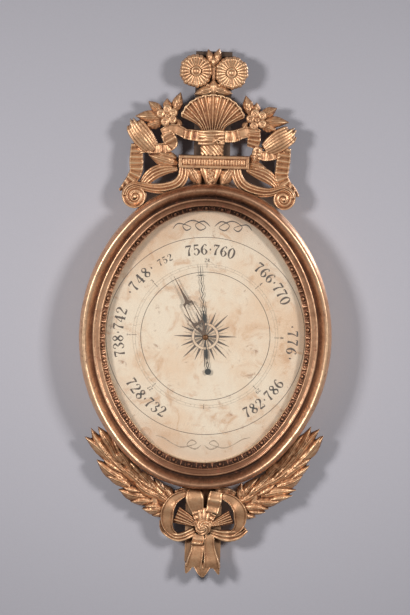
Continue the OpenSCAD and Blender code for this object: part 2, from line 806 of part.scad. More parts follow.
module crest_foot() {
    carved() crest() intersection() {
        union() {
            leaf([-6, 30], [crest_foot_x[0] + 1, 1], 20, relief);
            leaf([11, 30], [crest_foot_x[1] - 1, 1], 20, relief);
            leaf([3, 29], [3, -3], 25, relief + 4);
            for (s = [-1, 1]) petal([3 + s * 5, 26], [3 + s * 11, 8], 12, relief + 2, case_d);
        }
        column_space();
    }
}

module crest_plinth() {
    w = plinth_high[0] - plinth_low[0];
    h = plinth_high[1] - plinth_low[1];
    carved() crest() translate([plinth_low[0], plinth_low[1], case_d]) {
        difference() {
            cube([w, h, plinth_t]);
            translate([6, 6, plinth_t - 3]) cube([w - 12, h - 12, 4]);
        }
        for (k = [0:21])
            hull() for (y = [7.5, h - 7.5])
                translate([8.6 + k * (w - 17.2) / 21, y, plinth_t - 4])
                    cylinder(r1 = 2.1, r2 = 1, h = 3.4, $fn = 6);
    }
}

// One side of the crest, cut away where the middle piece and the plinth stand
module wing(pod, ribbons, scroll, leaves, volute_at, boss) {
    carved() crest() difference() {
        union() {
            strip(pod, fluted(5), 2);
            for (r = ribbons) strip(r, crimped, 3);
            strip(scroll, fluted(3), 2);
            translate([volute_at[0], volute_at[1], case_d])
                cylinder(r = volute_r, h = relief - 3, $fn = 32);
            for (l = leaves) leaf(l[0], l[1], l[2], relief);
            translate([boss[0], boss[1], case_d]) cylinder(r = blossom_r - 4, h = relief, $fn = 24);
        }
        column_space();
        plinth_space();
        fan_space();
    }
}

module crest_wing_left() {
    wing(
        pod = [[-142, 114, 12, 12], [-137, 103, 36, 18], [-126, 87, 43, bold_relief], [-110, 69, 36, 19],
               [-97, 55, 24, 13]],
        ribbons = [
            [[-19, 83, 22, 11], [-34, 83, 23, 12], [-46, 86, 23, 14]],
            [[-43, 88, 20, 13], [-54, 95, 22, relief], [-70, 97, 24, relief], [-84, 91, 20, 13]],
            [[-84, 86, 12, 13], [-78, 78, 18, 14], [-66, 73, 24, 13], [-57, 75, 12, 10]],
            [[-60, 66, 14, 12], [-76, 60, 20, 14], [-94, 60, 22, relief], [-112, 64, 24, relief],
             [-126, 66, 20, 14]],
            [[-124, 70, 20, 13], [-127, 52, 25, relief], [-128, 34, 25, 14], [-132, 18, 24, relief],
             [-142, 4, 18, 13], [-156, -11, 5, 8]],
            [[-56, 29, 9, 12], [-76, 28, 18, 14], [-94, 21, 21, relief], [-108, 10, 18, 14],
             [-118, -4, 12, 11]]],
        scroll = concat([[-44, 30, 20, 15], [-48, 14, 20, 18], [-62, 1, 21, 20], [-84, -6, 18, 19],
                         [-108, -5, 16, 18]], volute(volute_c[0], volute_r, 80, 620, 13, 18)),
        leaves = [[[-56, 35], [-109, 49], 26], [[-68, 46], [-104, 62], 14],
                  [[-64, 124], [-53, 158], 20], [[-76, 128], [-77, 150], 16], [[-84, 124], [-111, 142], 18],
                  [[-84, 116], [-133, 116], 22], [[-82, 110], [-118, 96], 20], [[-60, 112], [-50, 96], 12]],
        volute_at = volute_c[0],
        boss = blossom_c[0]);
}

module crest_wing_right() {
    wing(
        pod = [[152, 100, 12, 12], [144, 92, 34, 18], [127, 82, 42, bold_relief], [109, 69, 36, 19],
               [94, 59, 24, 13]],
        ribbons = [
            [[26, 84, 22, 11], [38, 84, 23, 12], [49, 87, 23, 14]],
            [[46, 88, 20, 13], [58, 95, 22, relief], [74, 97, 24, relief], [88, 92, 18, 13]],
            [[86, 92, 16, 13], [81, 82, 24, 14], [76, 68, 24, 13], [78, 56, 16, 12]],
            [[70, 60, 14, 12], [80, 52, 18, 14], [94, 47, 20, 14], [110, 49, 22, relief],
             [125, 55, 22, relief], [134, 61, 12, 13]],
            [[132, 64, 20, 13], [131, 46, 25, relief], [131, 28, 25, 14], [136, 10, 22, relief],
             [148, -4, 16, 13], [160, -20, 5, 8]],
            [[66, 27, 9, 12], [82, 25, 18, 14], [98, 18, 20, relief], [110, 8, 16, 14], [119, -6, 11, 11]]],
        scroll = concat([[45, 30, 20, 15], [50, 14, 21, 18], [66, -2, 23, 20], [90, -11, 20, 19],
                         [112, -10, 16, 18]], volute(volute_c[1], volute_r, 100, -620, 13, 18)),
        leaves = [[[72, 34], [86, 64], 18], [[66, 36], [98, 32], 14],
                  [[70, 120], [62, 156], 20], [[80, 124], [81, 146], 14], [[88, 120], [117, 135], 18],
                  [[90, 112], [139, 111], 20], [[88, 107], [118, 96], 20], [[66, 110], [56, 96], 12]],
        volute_at = volute_c[1],
        boss = blossom_c[1]);
}

// Five round petals, each of two lobes, round a button
module blossom(c) {
    carved() crest() {
        for (a = [0:72:359], s = [-1, 1])
            petal(polar(c, 3, a + 10), polar(c, blossom_r * 0.62, a + 10 + s * 13), blossom_r * 0.62, 9,
                  case_d + relief);
        translate([c[0], c[1], case_d + relief]) cylinder(r1 = 5, r2 = 3, h = 12, $fn = 10);
    }
}

module blossom_left() {
    blossom(blossom_c[0]);
}

module blossom_right() {
    blossom(blossom_c[1]);
}

module daisy(c) {
    carved() crest() {
        translate([c[0], c[1], case_d]) cylinder(r = daisy_r - 6, h = relief - 4, $fn = 44);
        for (k = [0:daisy_petals - 1]) let (a = k * 360 / daisy_petals)
            petal(polar(c, 7, a), polar(c, daisy_r - 4, a), daisy_r * 5.6 / daisy_petals, relief + 2, case_d);
        translate([c[0], c[1], case_d]) cylinder(r1 = 8, r2 = 6, h = relief + 4, $fn = 16);
    }
}

module daisy_left() {
    daisy(daisy_c[0]);
}

module daisy_right() {
    daisy(daisy_c[1]);
}

// Stems and leaves that hold the daisies, between the fan and the top of the case
module daisy_leaves() {
    carved() crest() difference() {
        union() {
            leaf([8, 166], [-29, 160], 19, relief);
            leaf([0, 166], [37, 161], 19, relief);
            leaf([4, 154], [4, 184], 22, relief + 2);
            leaf([1, 206], [-6, 237], 15, relief);
            leaf([6, 206], [12, 239], 15, relief);
            leaf([3, 204], [3, 228], 13, relief + 3);
            for (s = [-1, 1]) petal([4, 168], [4 + s * 10, 172], 9, relief, case_d);
            strip([[4, 158, 14, 12], [4, 185, 10, 12], [4, 214, 16, 12]], plain, 2);
        }
        fan_space();
        for (c = daisy_c)
            translate([c[0], c[1], case_d - 1]) cylinder(r = daisy_r + 0.4, h = ring_depth, $fn = 88);
    }
}

// Branch of laurel: a stem, a root that ties the lowest leaves together beside the bow, and leaves given
// as [base, tip, width], counted from the bottom of the frame
module laurel(stem, root, leaves) {
    carved() foot() difference() {
        union() {
            strip(stem, plain, 3);
            strip(root, plain, 2);
            for (l = leaves) leaf(l[0], l[1], l[2] * laurel_leaf_w / 18, relief);
        }
        bow_space();
    }
}

module laurel_left() {
    laurel(
        stem = [[-50, -32, 12, 12], [-84, -16, 12, 12], [-112, 4, 12, 12], [-138, 24, 12, 12],
                [-160, 46, 11, 12], [-178, 70, 9, 10]],
        root = [[-78, -56, 9, 10], [-81, -40, 13, 12], [-86, -14, 13, 12]],
        leaves = [[[-160, 38], [-211, 85], 18], [[-136, 8], [-189, 44], 20], [[-128, -2], [-172, 16], 18],
                  [[-100, -20], [-149, -9], 20], [[-88, -28], [-127, -31], 16], [[-66, -40], [-106, -43], 18],
                  [[-56, -46], [-88, -56], 14], [[-158, 42], [-200, 101], 18], [[-152, 46], [-188, 104], 17],
                  [[-130, 18], [-176, 66], 20], [[-104, -2], [-152, 36], 20], [[-76, -20], [-124, 10], 20],
                  [[-56, -30], [-96, -8], 18], [[-145, 38], [-172, 90], 15], [[-124, 22], [-162, 74], 15],
                  [[-104, 6], [-140, 44], 16], [[-84, -8], [-120, 28], 16], [[-62, -22], [-92, 12], 15],
                  [[-52, -24], [-70, 2], 14]]);
}

module laurel_right() {
    laurel(
        stem = [[60, -30, 12, 12], [92, -12, 12, 12], [120, 10, 12, 12], [146, 32, 12, 12],
                [166, 54, 11, 12], [183, 80, 9, 10]],
        root = [[91, -52, 9, 10], [93, -38, 13, 12], [95, -12, 13, 12]],
        leaves = [[[166, 46], [215, 97], 18], [[142, 16], [193, 54], 20], [[134, 4], [180, 24], 18],
                  [[106, -14], [169, -3], 20], [[94, -24], [145, -22], 16], [[74, -36], [121, -38], 18],
                  [[64, -42], [98, -54], 14], [[164, 50], [208, 109], 18], [[158, 54], [192, 113], 17],
                  [[138, 26], [184, 74], 20], [[112, 6], [162, 44], 20], [[84, -14], [134, 18], 20],
                  [[64, -26], [106, -2], 18], [[150, 46], [180, 100], 15], [[130, 30], [164, 80], 15],
                  [[112, 12], [148, 52], 16], [[92, -4], [128, 36], 16], [[72, -18], [100, 18], 15],
                  [[68, -22], [70, 8], 15]]);
}

// The bow and the drop are drawn a little short and stretched downwards together
module lengthened() {
    scale([1, foot_stretch, 1]) children();
}

// Space of the bow, which the laurel keeps clear of
module bow_space() {
    translate([0, 0, case_d - 1]) linear_extrude(ring_depth) lengthened() polygon([
        [-32, 3], [-46, -10], [-64, -22], [-73, -38], [-74, -62], [-70, -80], [-60, -94], [-38, -102],
        [54, -102], [78, -92], [88, -72], [86, -34], [76, -18], [54, -8], [42, 3]]);
}

module bow() {
    carved() foot() difference() {
        intersection() {
            lengthened() {
                strip([[-36, -15, 13, 13], [-50, -24, 18, 16], [-58, -38, 22, relief + 2],
                       [-59, -52, 23, relief + 2], [-58, -66, 19, 17], [-48, -79, 12, 13]], crimped, 3);
                strip([[42, -17, 13, 13], [56, -23, 18, 17], [67, -37, 23, relief + 3],
                       [68, -51, 23, relief + 2], [67, -64, 17, 16], [58, -75, 10, 12]], crimped, 3);
                for (p = [[-36, -40], [-44, -48], [-46, -58], [-42, -68]])
                    petal([-4, -64], p, 14, relief - 2, case_d);
                for (p = [[44, -40], [52, -48], [54, -58], [48, -66]])
                    petal([12, -64], p, 14, relief - 2, case_d);
                strip([[0, -62, 14, 16], [-8, -42, 20, 16], [-12, -30, 25, 19], [-13, -18, 27, 20],
                       [-11, -5, 17, 12]], crimped, 3);
                strip([[9, -62, 14, 16], [18, -44, 20, 17], [22, -31, 22, 17], [25, -17, 23, 20],
                       [26, -7, 20, 14]], crimped, 3);
                strip([[-12, -8, 14, 12], [-46, -14, 12, 11]], plain, 2);
                strip([[25, -8, 14, 12], [60, -13, 12, 11]], plain, 2);
                strip([[-14, -46, 15, 14], [24, -46, 15, 14]], plain, 2);
                strip([[-10, -77, 15, 14], [-28, -86, 15, 15], [-42, -89, 15, 14], [-57, -85, 12, 12],
                       [-67, -78, 8, 10]], crimped, 3);
                strip([[17, -78, 12, 14], [34, -83, 17, 15], [50, -85, 21, 14], [66, -82, 18, 13],
                       [81, -72, 13, 11]], crimped, 3);
            }
            bow_space();
        }
        rosette_space();
        drop_space();
    }
}

module rosette_space() {
    lengthened() translate([rosette_c[0], rosette_c[1], case_d - 1])
        cylinder(r = rosette_r + 0.3, h = ring_depth, $fn = 48);
}

module rosette() {
    carved() foot() lengthened() {
        translate([rosette_c[0], rosette_c[1], case_d])
            cylinder(r = rosette_r - 3, h = bold_relief - 3, $fn = 32);
        for (k = [0:8])
            petal(polar(rosette_c, 5, k * 40), polar(rosette_c, rosette_r - 5.5, k * 40 + 22),
                  9.5, bold_relief, case_d);
        strip(volute(rosette_c, 9, 0, 500, 5, bold_relief + 2), plain, 1);
    }
}

module drop_space() {
    translate([0, 0, case_d - 1]) linear_extrude(ring_depth) lengthened() polygon([
        [rosette_c[0] - 19, drop_top], [rosette_c[0] - 21, -104], [rosette_c[0] - 38, -170],
        [rosette_c[0] + 40, -170], [rosette_c[0] + 24, -104], [rosette_c[0] + 19, drop_top]]);
}

// Two folds of ribbon that hang from the rosette and end in three points
module drop() {
    folds = [
        [[-4, drop_top, 21, 15], [-4, -93, 22, 18], [-5, -108, 23, 16], [-9, -126, 28, 18],
         [-12, -141, 29, 15]],
        [[16, drop_top, 17, 15], [16, -98, 18, 16], [17, -112, 22, 16], [20, -130, 29, 18],
         [21, -142, 32, 15]]];
    points = [[[-18, -132], [-25, -152]], [[-14, -126], [-18, -146]], [[28, -132], [34, -153]],
              [[24, -126], [29, -147]], [[0, -130], [4, -158]], [[8, -130], [5, -157]], [[4, -90], [4, -150]],
              [[-8, -128], [-4, -149]], [[17, -128], [12, -149]]];
    carved() foot() difference() {
        intersection() {
            lengthened() {
                for (f = folds) strip(f, crimped, 3);
                for (l = points) leaf(l[0], l[1], 13, relief + 2);
            }
            drop_space();
        }
        rosette_space();
    }
}

tube_case();
upper_lid();
lower_lid();
lid_screws();
hanging_plate();
hanging_screws();
frame_right();
frame_top();
frame_left();
frame_bottom();
dial_glass();
glass_bush();
glass_spacer();
dial_paper();
dial_board();
turn_plates();
turn_screws();
frame_screws();
arbor_bush();
arbor_cock();
cock_screws();
arbor();
pulley();
thread_winding();
steel_hand();
set_hand();
set_knob();
siphon_tube();
mercury_column();
mercury_short_limb();
tube_rests();
tube_straps();
strap_screws();
float();
counterweight();
float_thread();
counter_thread();
back_door();
door_knuckles();
hinge_leaves();
hinge_pins();
crest_fan();
crest_foot();
crest_plinth();
crest_wing_left();
crest_wing_right();
blossom_left();
blossom_right();
daisy_left();
daisy_right();
daisy_leaves();
laurel_left();
laurel_right();
bow();
rosette();
drop();
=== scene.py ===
"""Looks of the oval wall barometer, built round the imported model.

Carving is drawn in millimetres as (x, y, depth): x to the right, y up and depth out of the wall.
"""
import math

import bpy
import numpy as np
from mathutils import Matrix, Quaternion, Vector


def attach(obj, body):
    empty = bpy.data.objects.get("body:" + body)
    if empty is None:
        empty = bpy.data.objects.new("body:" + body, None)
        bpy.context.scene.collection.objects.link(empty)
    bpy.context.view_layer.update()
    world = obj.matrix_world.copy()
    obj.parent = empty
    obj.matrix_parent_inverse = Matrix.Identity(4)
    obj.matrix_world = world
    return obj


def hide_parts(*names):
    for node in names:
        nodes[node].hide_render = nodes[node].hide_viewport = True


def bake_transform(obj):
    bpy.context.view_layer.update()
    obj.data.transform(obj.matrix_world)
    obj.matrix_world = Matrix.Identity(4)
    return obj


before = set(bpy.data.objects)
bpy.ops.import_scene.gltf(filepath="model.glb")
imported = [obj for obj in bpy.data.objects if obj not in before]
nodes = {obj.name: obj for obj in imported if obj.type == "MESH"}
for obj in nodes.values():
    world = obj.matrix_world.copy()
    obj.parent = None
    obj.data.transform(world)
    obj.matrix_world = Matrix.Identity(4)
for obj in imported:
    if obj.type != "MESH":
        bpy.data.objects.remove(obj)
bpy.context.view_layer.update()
scene = bpy.context.scene

MM = 0.001
# Depth of the case, on whose front the carving and the frame lie, and half the oval's height
BED = 26.0
FRAME_TOP = 271.5


# Mesh tools

def to_world(points):
    """Drawn millimetres (x, y, depth) to metres in the shared frame."""
    p = np.asarray(points, float)
    return np.stack([p[..., 0], -p[..., 2], p[..., 1]], -1) * MM


class Shell:
    """Gathers closed surfaces, given as rings of drawn points."""

    def __init__(self, dy=0.0):
        self.verts, self.faces, self.count, self.dy = [], [], 0, dy

    def loft(self, rings, closed=False):
        rings = np.asarray(rings, float)
        m, n, _ = rings.shape
        base = self.count
        pts = rings.reshape(-1, 3).copy()
        pts[:, 1] += self.dy
        self.verts.append(pts)
        self.count += m * n
        last = m if closed else m - 1
        for i in range(last):
            a, b = base + i * n, base + ((i + 1) % m) * n
            for j in range(n):
                k = (j + 1) % n
                self.faces.append((a + j, a + k, b + k, b + j))
        if not closed:
            self.faces.append(tuple(base + j for j in range(n - 1, -1, -1)))
            self.faces.append(tuple(base + (m - 1) * n + j for j in range(n)))

    def mesh(self, name):
        me = bpy.data.meshes.new(name)
        me.from_pydata(to_world(np.concatenate(self.verts)).tolist(), [], self.faces)
        me.update()
        return me


def add_object(name, mesh):
    ob = bpy.data.objects.new(name, mesh)
    scene.collection.objects.link(ob)
    return ob


def mesh_object(name, verts, faces):
    me = bpy.data.meshes.new(name)
    me.from_pydata(np.asarray(verts, float).tolist(), [], faces)
    me.update()
    return add_object(name, me)


def dress(ob, look, body, slot_name, *replaced):
    """Material and body of a piece, with the CAD nodes that it stands for; the slot name is not used."""
    ob.data.materials.append(look)
    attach(ob, body)
    if replaced:
        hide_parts(*replaced)


def coords(me):
    co = np.empty(len(me.vertices) * 3)
    me.vertices.foreach_get("co", co)
    return co.reshape(-1, 3)


def normals(me):
    n = np.empty(len(me.vertices) * 3)
    me.vertices.foreach_get("normal", n)
    return n.reshape(-1, 3)


def edges_of(me):
    e = np.empty(len(me.edges) * 2, np.int64)
    me.edges.foreach_get("vertices", e)
    return e.reshape(-1, 2)


def relax(co, edges, turns):
    """Moves each point halfway towards the mean of its neighbours."""
    degree = np.bincount(edges.ravel(), minlength=len(co)).astype(float)[:, None]
    for _ in range(turns):
        total = np.zeros_like(co)
        np.add.at(total, edges[:, 0], co[edges[:, 1]])
        np.add.at(total, edges[:, 1], co[edges[:, 0]])
        co = co + (total / np.maximum(degree, 1) - co) * 0.5
    return co


def move_points(me, co):
    me.vertices.foreach_set("co", co.ravel())
    me.update()


def value_noise(p, size, seed=0):
    """Smooth noise from -1 to 1 at points in metres; size is in millimetres."""
    q = p / (size * MM) + seed * 17.3
    cell = np.floor(q).astype(np.int64)
    f = q - cell
    f = f * f * (3 - 2 * f)

    def lattice(c):
        h = (c[:, 0] * 374761393 + c[:, 1] * 668265263 + c[:, 2] * 1274126177 + seed * 144269) & 0x7FFFFFFF
        h = ((h ^ (h >> 13)) * 1103515245) & 0x7FFFFFFF
        return ((h ^ (h >> 16)) & 0xFFFF) / 32767.5 - 1

    out = 0
    for corner in np.ndindex(2, 2, 2):
        near = [f[:, i] if c else 1 - f[:, i] for i, c in enumerate(corner)]
        out = out + near[0] * near[1] * near[2] * lattice(cell + np.array(corner))
    return out


def hollow_of(co, edges, nor, turns):
    """How far each point lies in a hollow (above 0) or on an edge (below 0), in millimetres."""
    return ((relax(co, edges, turns) - co) * nor).sum(1) / MM


def paint(me, hollow):
    layer = me.attributes.new("hollow", "FLOAT", "POINT")
    layer.data.foreach_set("value", hollow.astype(np.float32))


# Painted shade: carving less than 37 mm from the wall is painted darker, and below 27 mm fully so
SHADE_FROM, SHADE_RUN = 37, 10


def carve(shell, name, voxel, marks, turns):
    """Welds a shell's surfaces into one skin, softens it, adds tool marks, measures its hollows and paints
    shade near the wall.
    """
    ob = add_object(name, shell.mesh(name))
    mod = ob.modifiers.new("weld", "REMESH")
    mod.mode = "VOXEL"
    mod.voxel_size = voxel * MM * 1
    mod.use_smooth_shade = True
    bpy.context.view_layer.update()
    me = bpy.data.meshes.new_from_object(ob.evaluated_get(bpy.context.evaluated_depsgraph_get()))
    ob.modifiers.clear()
    old, ob.data = ob.data, me
    bpy.data.meshes.remove(old)
    me.name = name
    edges = edges_of(me)
    co = relax(coords(me), edges, turns)
    move_points(me, co)
    shift = marks * (0.6 * value_noise(co, 5.0, 3) + 0.4 * value_noise(co, 2.2, 5)) - 0.5 * marks
    shift[co[:, 1] > -(BED + 0.4) * MM] = 0
    co = co + normals(me) * (shift * MM)[:, None]
    co[:, 1] = np.minimum(co[:, 1], -BED * MM)
    move_points(me, co)
    nor = normals(me)
    hollow = 0.55 * hollow_of(co, edges, nor, 5) + 0.55 * hollow_of(co, edges, nor, 16)
    # painted shade: the nearer the wall, the darker the gold
    wall_shade = np.clip((co[:, 1] / MM + SHADE_FROM) / SHADE_RUN, 0, 1)
    paint(me, hollow - 0.06 + 0.7 * wall_shade)
    me.shade_smooth()
    return ob


# Drawing tools for carved forms

def spline(points, steps):
    """Smooth line through control points; each may carry more numbers than x and y."""
    p = np.asarray(points, float)
    out = []
    for i in range(len(p) - 1):
        a, b, c, d = p[max(i - 1, 0)], p[i], p[i + 1], p[min(i + 2, len(p) - 1)]
        for s in range(steps):
            t = s / steps
            out.append(0.5 * (2 * b + (c - a) * t + (2 * a - 5 * b + 4 * c - d) * t * t
                              + (3 * b - a - 3 * c + d) * t ** 3))
    out.append(p[-1])
    return np.array(out)


def unit(v):
    return v / np.maximum(np.linalg.norm(v, axis=1), 1e-9)[:, None]


def polar(c, r, a):
    return [c[0] + r * math.sin(math.radians(a)), c[1] + r * math.cos(math.radians(a))]


def dome(u, s):
    """Plain section of a strip, for u from -1 to 1 across it; s, the millimetres along it, is not used."""
    return 0.5 + 0.5 * np.sqrt(np.maximum(0, 1 - np.abs(u) ** 2.2))


def ribbed(count, depth=0.16, edge=0.62):
    """Section with ridges along the strip."""
    def f(u, s):
        body = edge + (1 - edge) * np.sqrt(np.maximum(0, 1 - np.abs(u) ** 2.4))
        return body - depth * (0.5 - 0.5 * np.cos(math.pi * count * (u + 1))) * (1 - 0.4 * np.abs(u))
    return f


def band(wave=0.09, pitch=10.0, rim=0.1, pleats=0.0, fold=0.12, phase=0.0):
    """Section of a ribbon: raised edges, waves across it and, with pleats above 0, folds along it."""
    def f(u, s):
        body = 0.84 + rim * np.exp(-((np.abs(u) - 0.88) / 0.1) ** 2) - 0.05 * u * u
        if pleats:
            body = body - fold * (0.5 + 0.5 * np.cos(math.pi * pleats * (u + 1)))
        body = body + wave * np.sin(2 * math.pi * s / pitch + phase)
        return body * (1 - 0.35 * np.maximum(0, np.abs(u) - 0.93) / 0.07)
    return f


def skin_ring(c, n, half, heights):
    """Heights across a form at c, with the form's two feet on the bed."""
    u = np.linspace(-1, 1, len(heights))
    top = np.stack([c[0] + n[0] * u * half, c[1] + n[1] * u * half, BED + heights], 1)
    feet = [[c[0] + n[0] * s * half, c[1] + n[1] * s * half, BED] for s in (1, -1)]
    return np.vstack([top, feet])


def strip(shell, points, section=dome, steps=10, across=21):
    """Carved strip along control points [x, y, width, thickness]."""
    path = spline(points, steps)
    xy = path[:, :2]
    t = unit(np.vstack([xy[1:], xy[-1:]]) - np.vstack([xy[:1], xy[:-1]]))
    run = np.concatenate([[0], np.cumsum(np.linalg.norm(np.diff(xy, axis=0), axis=1))])
    u = np.linspace(-1, 1, across)
    shell.loft([skin_ring(q, (d[1], -d[0]), q[2] / 2, section(u, s) * q[3]) for q, d, s in zip(path, t, run)])


def leaf(shell, base, tip, w, h, bend=0.0, vein=0.14, sides=5, edge=0.5, hollow=0.0):
    """Pointed leaf with a midrib, side veins and raised halves."""
    base, tip = np.array(base, float), np.array(tip, float)
    length = np.linalg.norm(tip - base)
    d = (tip - base) / length
    n = np.array([d[1], -d[0]])
    off = np.abs(np.linspace(-1, 1, 19))
    rings = []
    for t in np.linspace(0, 1, 26):
        wide = np.interp(t, [0, 0.1, 0.22, 0.36, 0.5, 0.65, 0.8, 0.92, 1],
                         [0.35, 0.62, 0.85, 0.97, 1, 0.84, 0.52, 0.22, 0.02])
        tall = np.interp(t, [0, 0.3, 0.6, 0.85, 1], [0.75, 1, 0.97, 0.72, 0.42])
        body = edge + (1 - edge) * (1 - off ** 1.7)
        body = body - vein * np.exp(-((off - 0.16) / 0.09) ** 2) * (1 - t * 0.6)
        side_veins = (0.5 + 0.5 * np.cos(2 * math.pi * (sides * t - 0.9 * off))) * off
        body = body - vein * 0.55 * side_veins * (1 - 0.7 * t)
        body = body - hollow * np.exp(-((off - 0.5) / 0.25) ** 2) * math.sin(math.pi * min(1, t * 1.1))
        c = base + d * (t * length) + n * bend * math.sin(math.pi * t) * length
        rings.append(skin_ring(c, n, w / 2 * wide, body * tall * h))
    shell.loft(rings)


def petal(shell, inner, outer, w, h):
    """Rounded petal from an inner point to the middle of its round end."""
    inner, outer = np.array(inner, float), np.array(outer, float)
    end = np.linalg.norm(outer - inner)
    d = (outer - inner) / end
    u = np.linspace(-1, 1, 13)
    rings = []
    for t in np.linspace(0, 1, 20):
        x = t * (end + w / 2)
        if x < end:
            half = w * (0.24 + 0.26 * x / end)
        else:
            half = w / 2 * math.sqrt(max(0.0012, 1 - ((x - end) / (w / 2)) ** 2))
        tall = np.interp(t, [0, 0.35, 0.75, 0.92, 1], [0.55, 0.7, 1, 0.92, 0.62])
        groove = 0.14 * np.exp(-(u / 0.28) ** 2) * min(1, 2 * t)
        body = 0.62 + 0.38 * np.sqrt(np.maximum(0, 1 - u * u)) - groove
        rings.append(skin_ring(inner + d * x, (d[1], -d[0]), half, body * tall * h))
    shell.loft(rings)


def turned(shell, c, profile, count=48, bed=BED):
    """Turned form on the axis that points out of the wall; profile is a list of (radius, height)."""
    a = np.linspace(0, 2 * math.pi, count, endpoint=False)
    shell.loft([np.stack([c[0] + r * np.cos(a), c[1] + r * np.sin(a), np.full(count, float(bed + z))], 1)
                for r, z in profile])


def tube(shell, line, r, count=16):
    """Round bar along drawn points (x, y, depth); r is one radius or one for each point."""
    line = np.asarray(line, float)
    a = np.linspace(0, 2 * math.pi, count, endpoint=False)[:, None]
    rings = []
    for p, d, rr in zip(line, unit(np.gradient(line, axis=0)), np.broadcast_to(r, (len(line),))):
        s = np.cross(d, [0, 0, 1.0])
        if np.linalg.norm(s) < 0.1:
            s = np.cross(d, [0, 1.0, 0])
        s /= np.linalg.norm(s)
        rings.append(p + rr * (np.cos(a) * s + np.sin(a) * np.cross(s, d)))
    shell.loft(rings)


def box(shell, low, high, back, front, chamfer):
    """Block with chamfered front edges."""
    (x0, y0), (x1, y1) = low, high
    shell.loft([[[x0 + c, y0 + c, z], [x1 - c, y0 + c, z], [x1 - c, y1 - c, z], [x0 + c, y1 - c, z]]
                for z, c in ((back, 0), (front - chamfer, 0), (front, chamfer))])


# Materials

def colour(r, g, b):
    """Linear colour from 0 to 255 display values."""
    out = []
    for c in (r, g, b):
        c = c / 255
        out.append(c / 12.92 if c <= 0.04045 else ((c + 0.055) / 1.055) ** 2.4)
    return (*out, 1)


class Look:
    """A node material round one Principled shader."""

    def __init__(self, name):
        self.m = bpy.data.materials.new(name)
        self.m.use_nodes = True
        self.t = self.m.node_tree
        self.t.nodes.clear()
        self.out = self.t.nodes.new("ShaderNodeOutputMaterial")
        self.p = self.t.nodes.new("ShaderNodeBsdfPrincipled")
        self.t.links.new(self.p.outputs[0], self.out.inputs[0])
        self.where = self.node("ShaderNodeTexCoord").outputs["Object"]

    def node(self, kind, **values):
        n = self.t.nodes.new(kind)
        for k, v in values.items():
            if k in n.inputs:
                self.put(n.inputs[k], v)
            else:
                setattr(n, k, v)
        return n

    def put(self, socket, v):
        if isinstance(v, bpy.types.NodeSocket):
            self.t.links.new(v, socket)
        elif v is not None:
            socket.default_value = v

    def set(self, **values):
        for k, v in values.items():
            self.put(self.p.inputs[k.replace("_", " ")], v)
        return self

    def noise(self, scale, detail=3.0, rough=0.55, at=None, warp=0.0):
        n = self.node("ShaderNodeTexNoise", Scale=scale, Detail=detail, Roughness=rough, Distortion=warp)
        self.put(n.inputs["Vector"], at or self.where)
        return n.outputs[0]

    def stretch(self, x, y, z):
        n = self.node("ShaderNodeMapping")
        self.put(n.inputs["Vector"], self.where)
        n.inputs["Scale"].default_value = (x, y, z)
        return n.outputs[0]

    def math(self, op, a, b=None, c=None, clamp=False):
        n = self.t.nodes.new("ShaderNodeMath")
        n.operation, n.use_clamp = op, clamp
        for s, v in zip(n.inputs, (a, b, c)):
            self.put(s, v)
        return n.outputs[0]

    def span(self, v, low, high, to_low=0.0, to_high=1.0):
        n = self.t.nodes.new("ShaderNodeMapRange")
        n.interpolation_type = "SMOOTHSTEP"
        for s, x in zip(n.inputs, (v, low, high, to_low, to_high)):
            self.put(s, x)
        return n.outputs[0]

    def mix(self, share, a, b):
        n = self.t.nodes.new("ShaderNodeMix")
        n.data_type = "RGBA"
        for i, v in ((0, share), (6, a), (7, b)):
            self.put(n.inputs[i], v)
        return n.outputs[2]

    def ramp(self, v, stops):
        n = self.t.nodes.new("ShaderNodeValToRGB")
        self.put(n.inputs[0], v)
        e = n.color_ramp.elements
        while len(e) < len(stops):
            e.new(0.5)
        for x, (at, c) in zip(e, stops):
            x.position, x.color = at, c
        return n.outputs[0]

    def attribute(self, name):
        n = self.t.nodes.new("ShaderNodeAttribute")
        n.attribute_name = name
        return n.outputs["Fac"]

    def crevice(self, reach):
        n = self.node("ShaderNodeAmbientOcclusion", samples=6)
        n.inputs["Distance"].default_value = reach
        return n.outputs["AO"]

    def bump(self, height, reach, strength=1.0, under=None):
        n = self.node("ShaderNodeBump", Strength=strength, Distance=reach)
        self.put(n.inputs["Height"], height)
        self.put(n.inputs["Normal"], under)
        self.put(self.p.inputs["Normal"], n.outputs[0])
        return n.outputs[0]


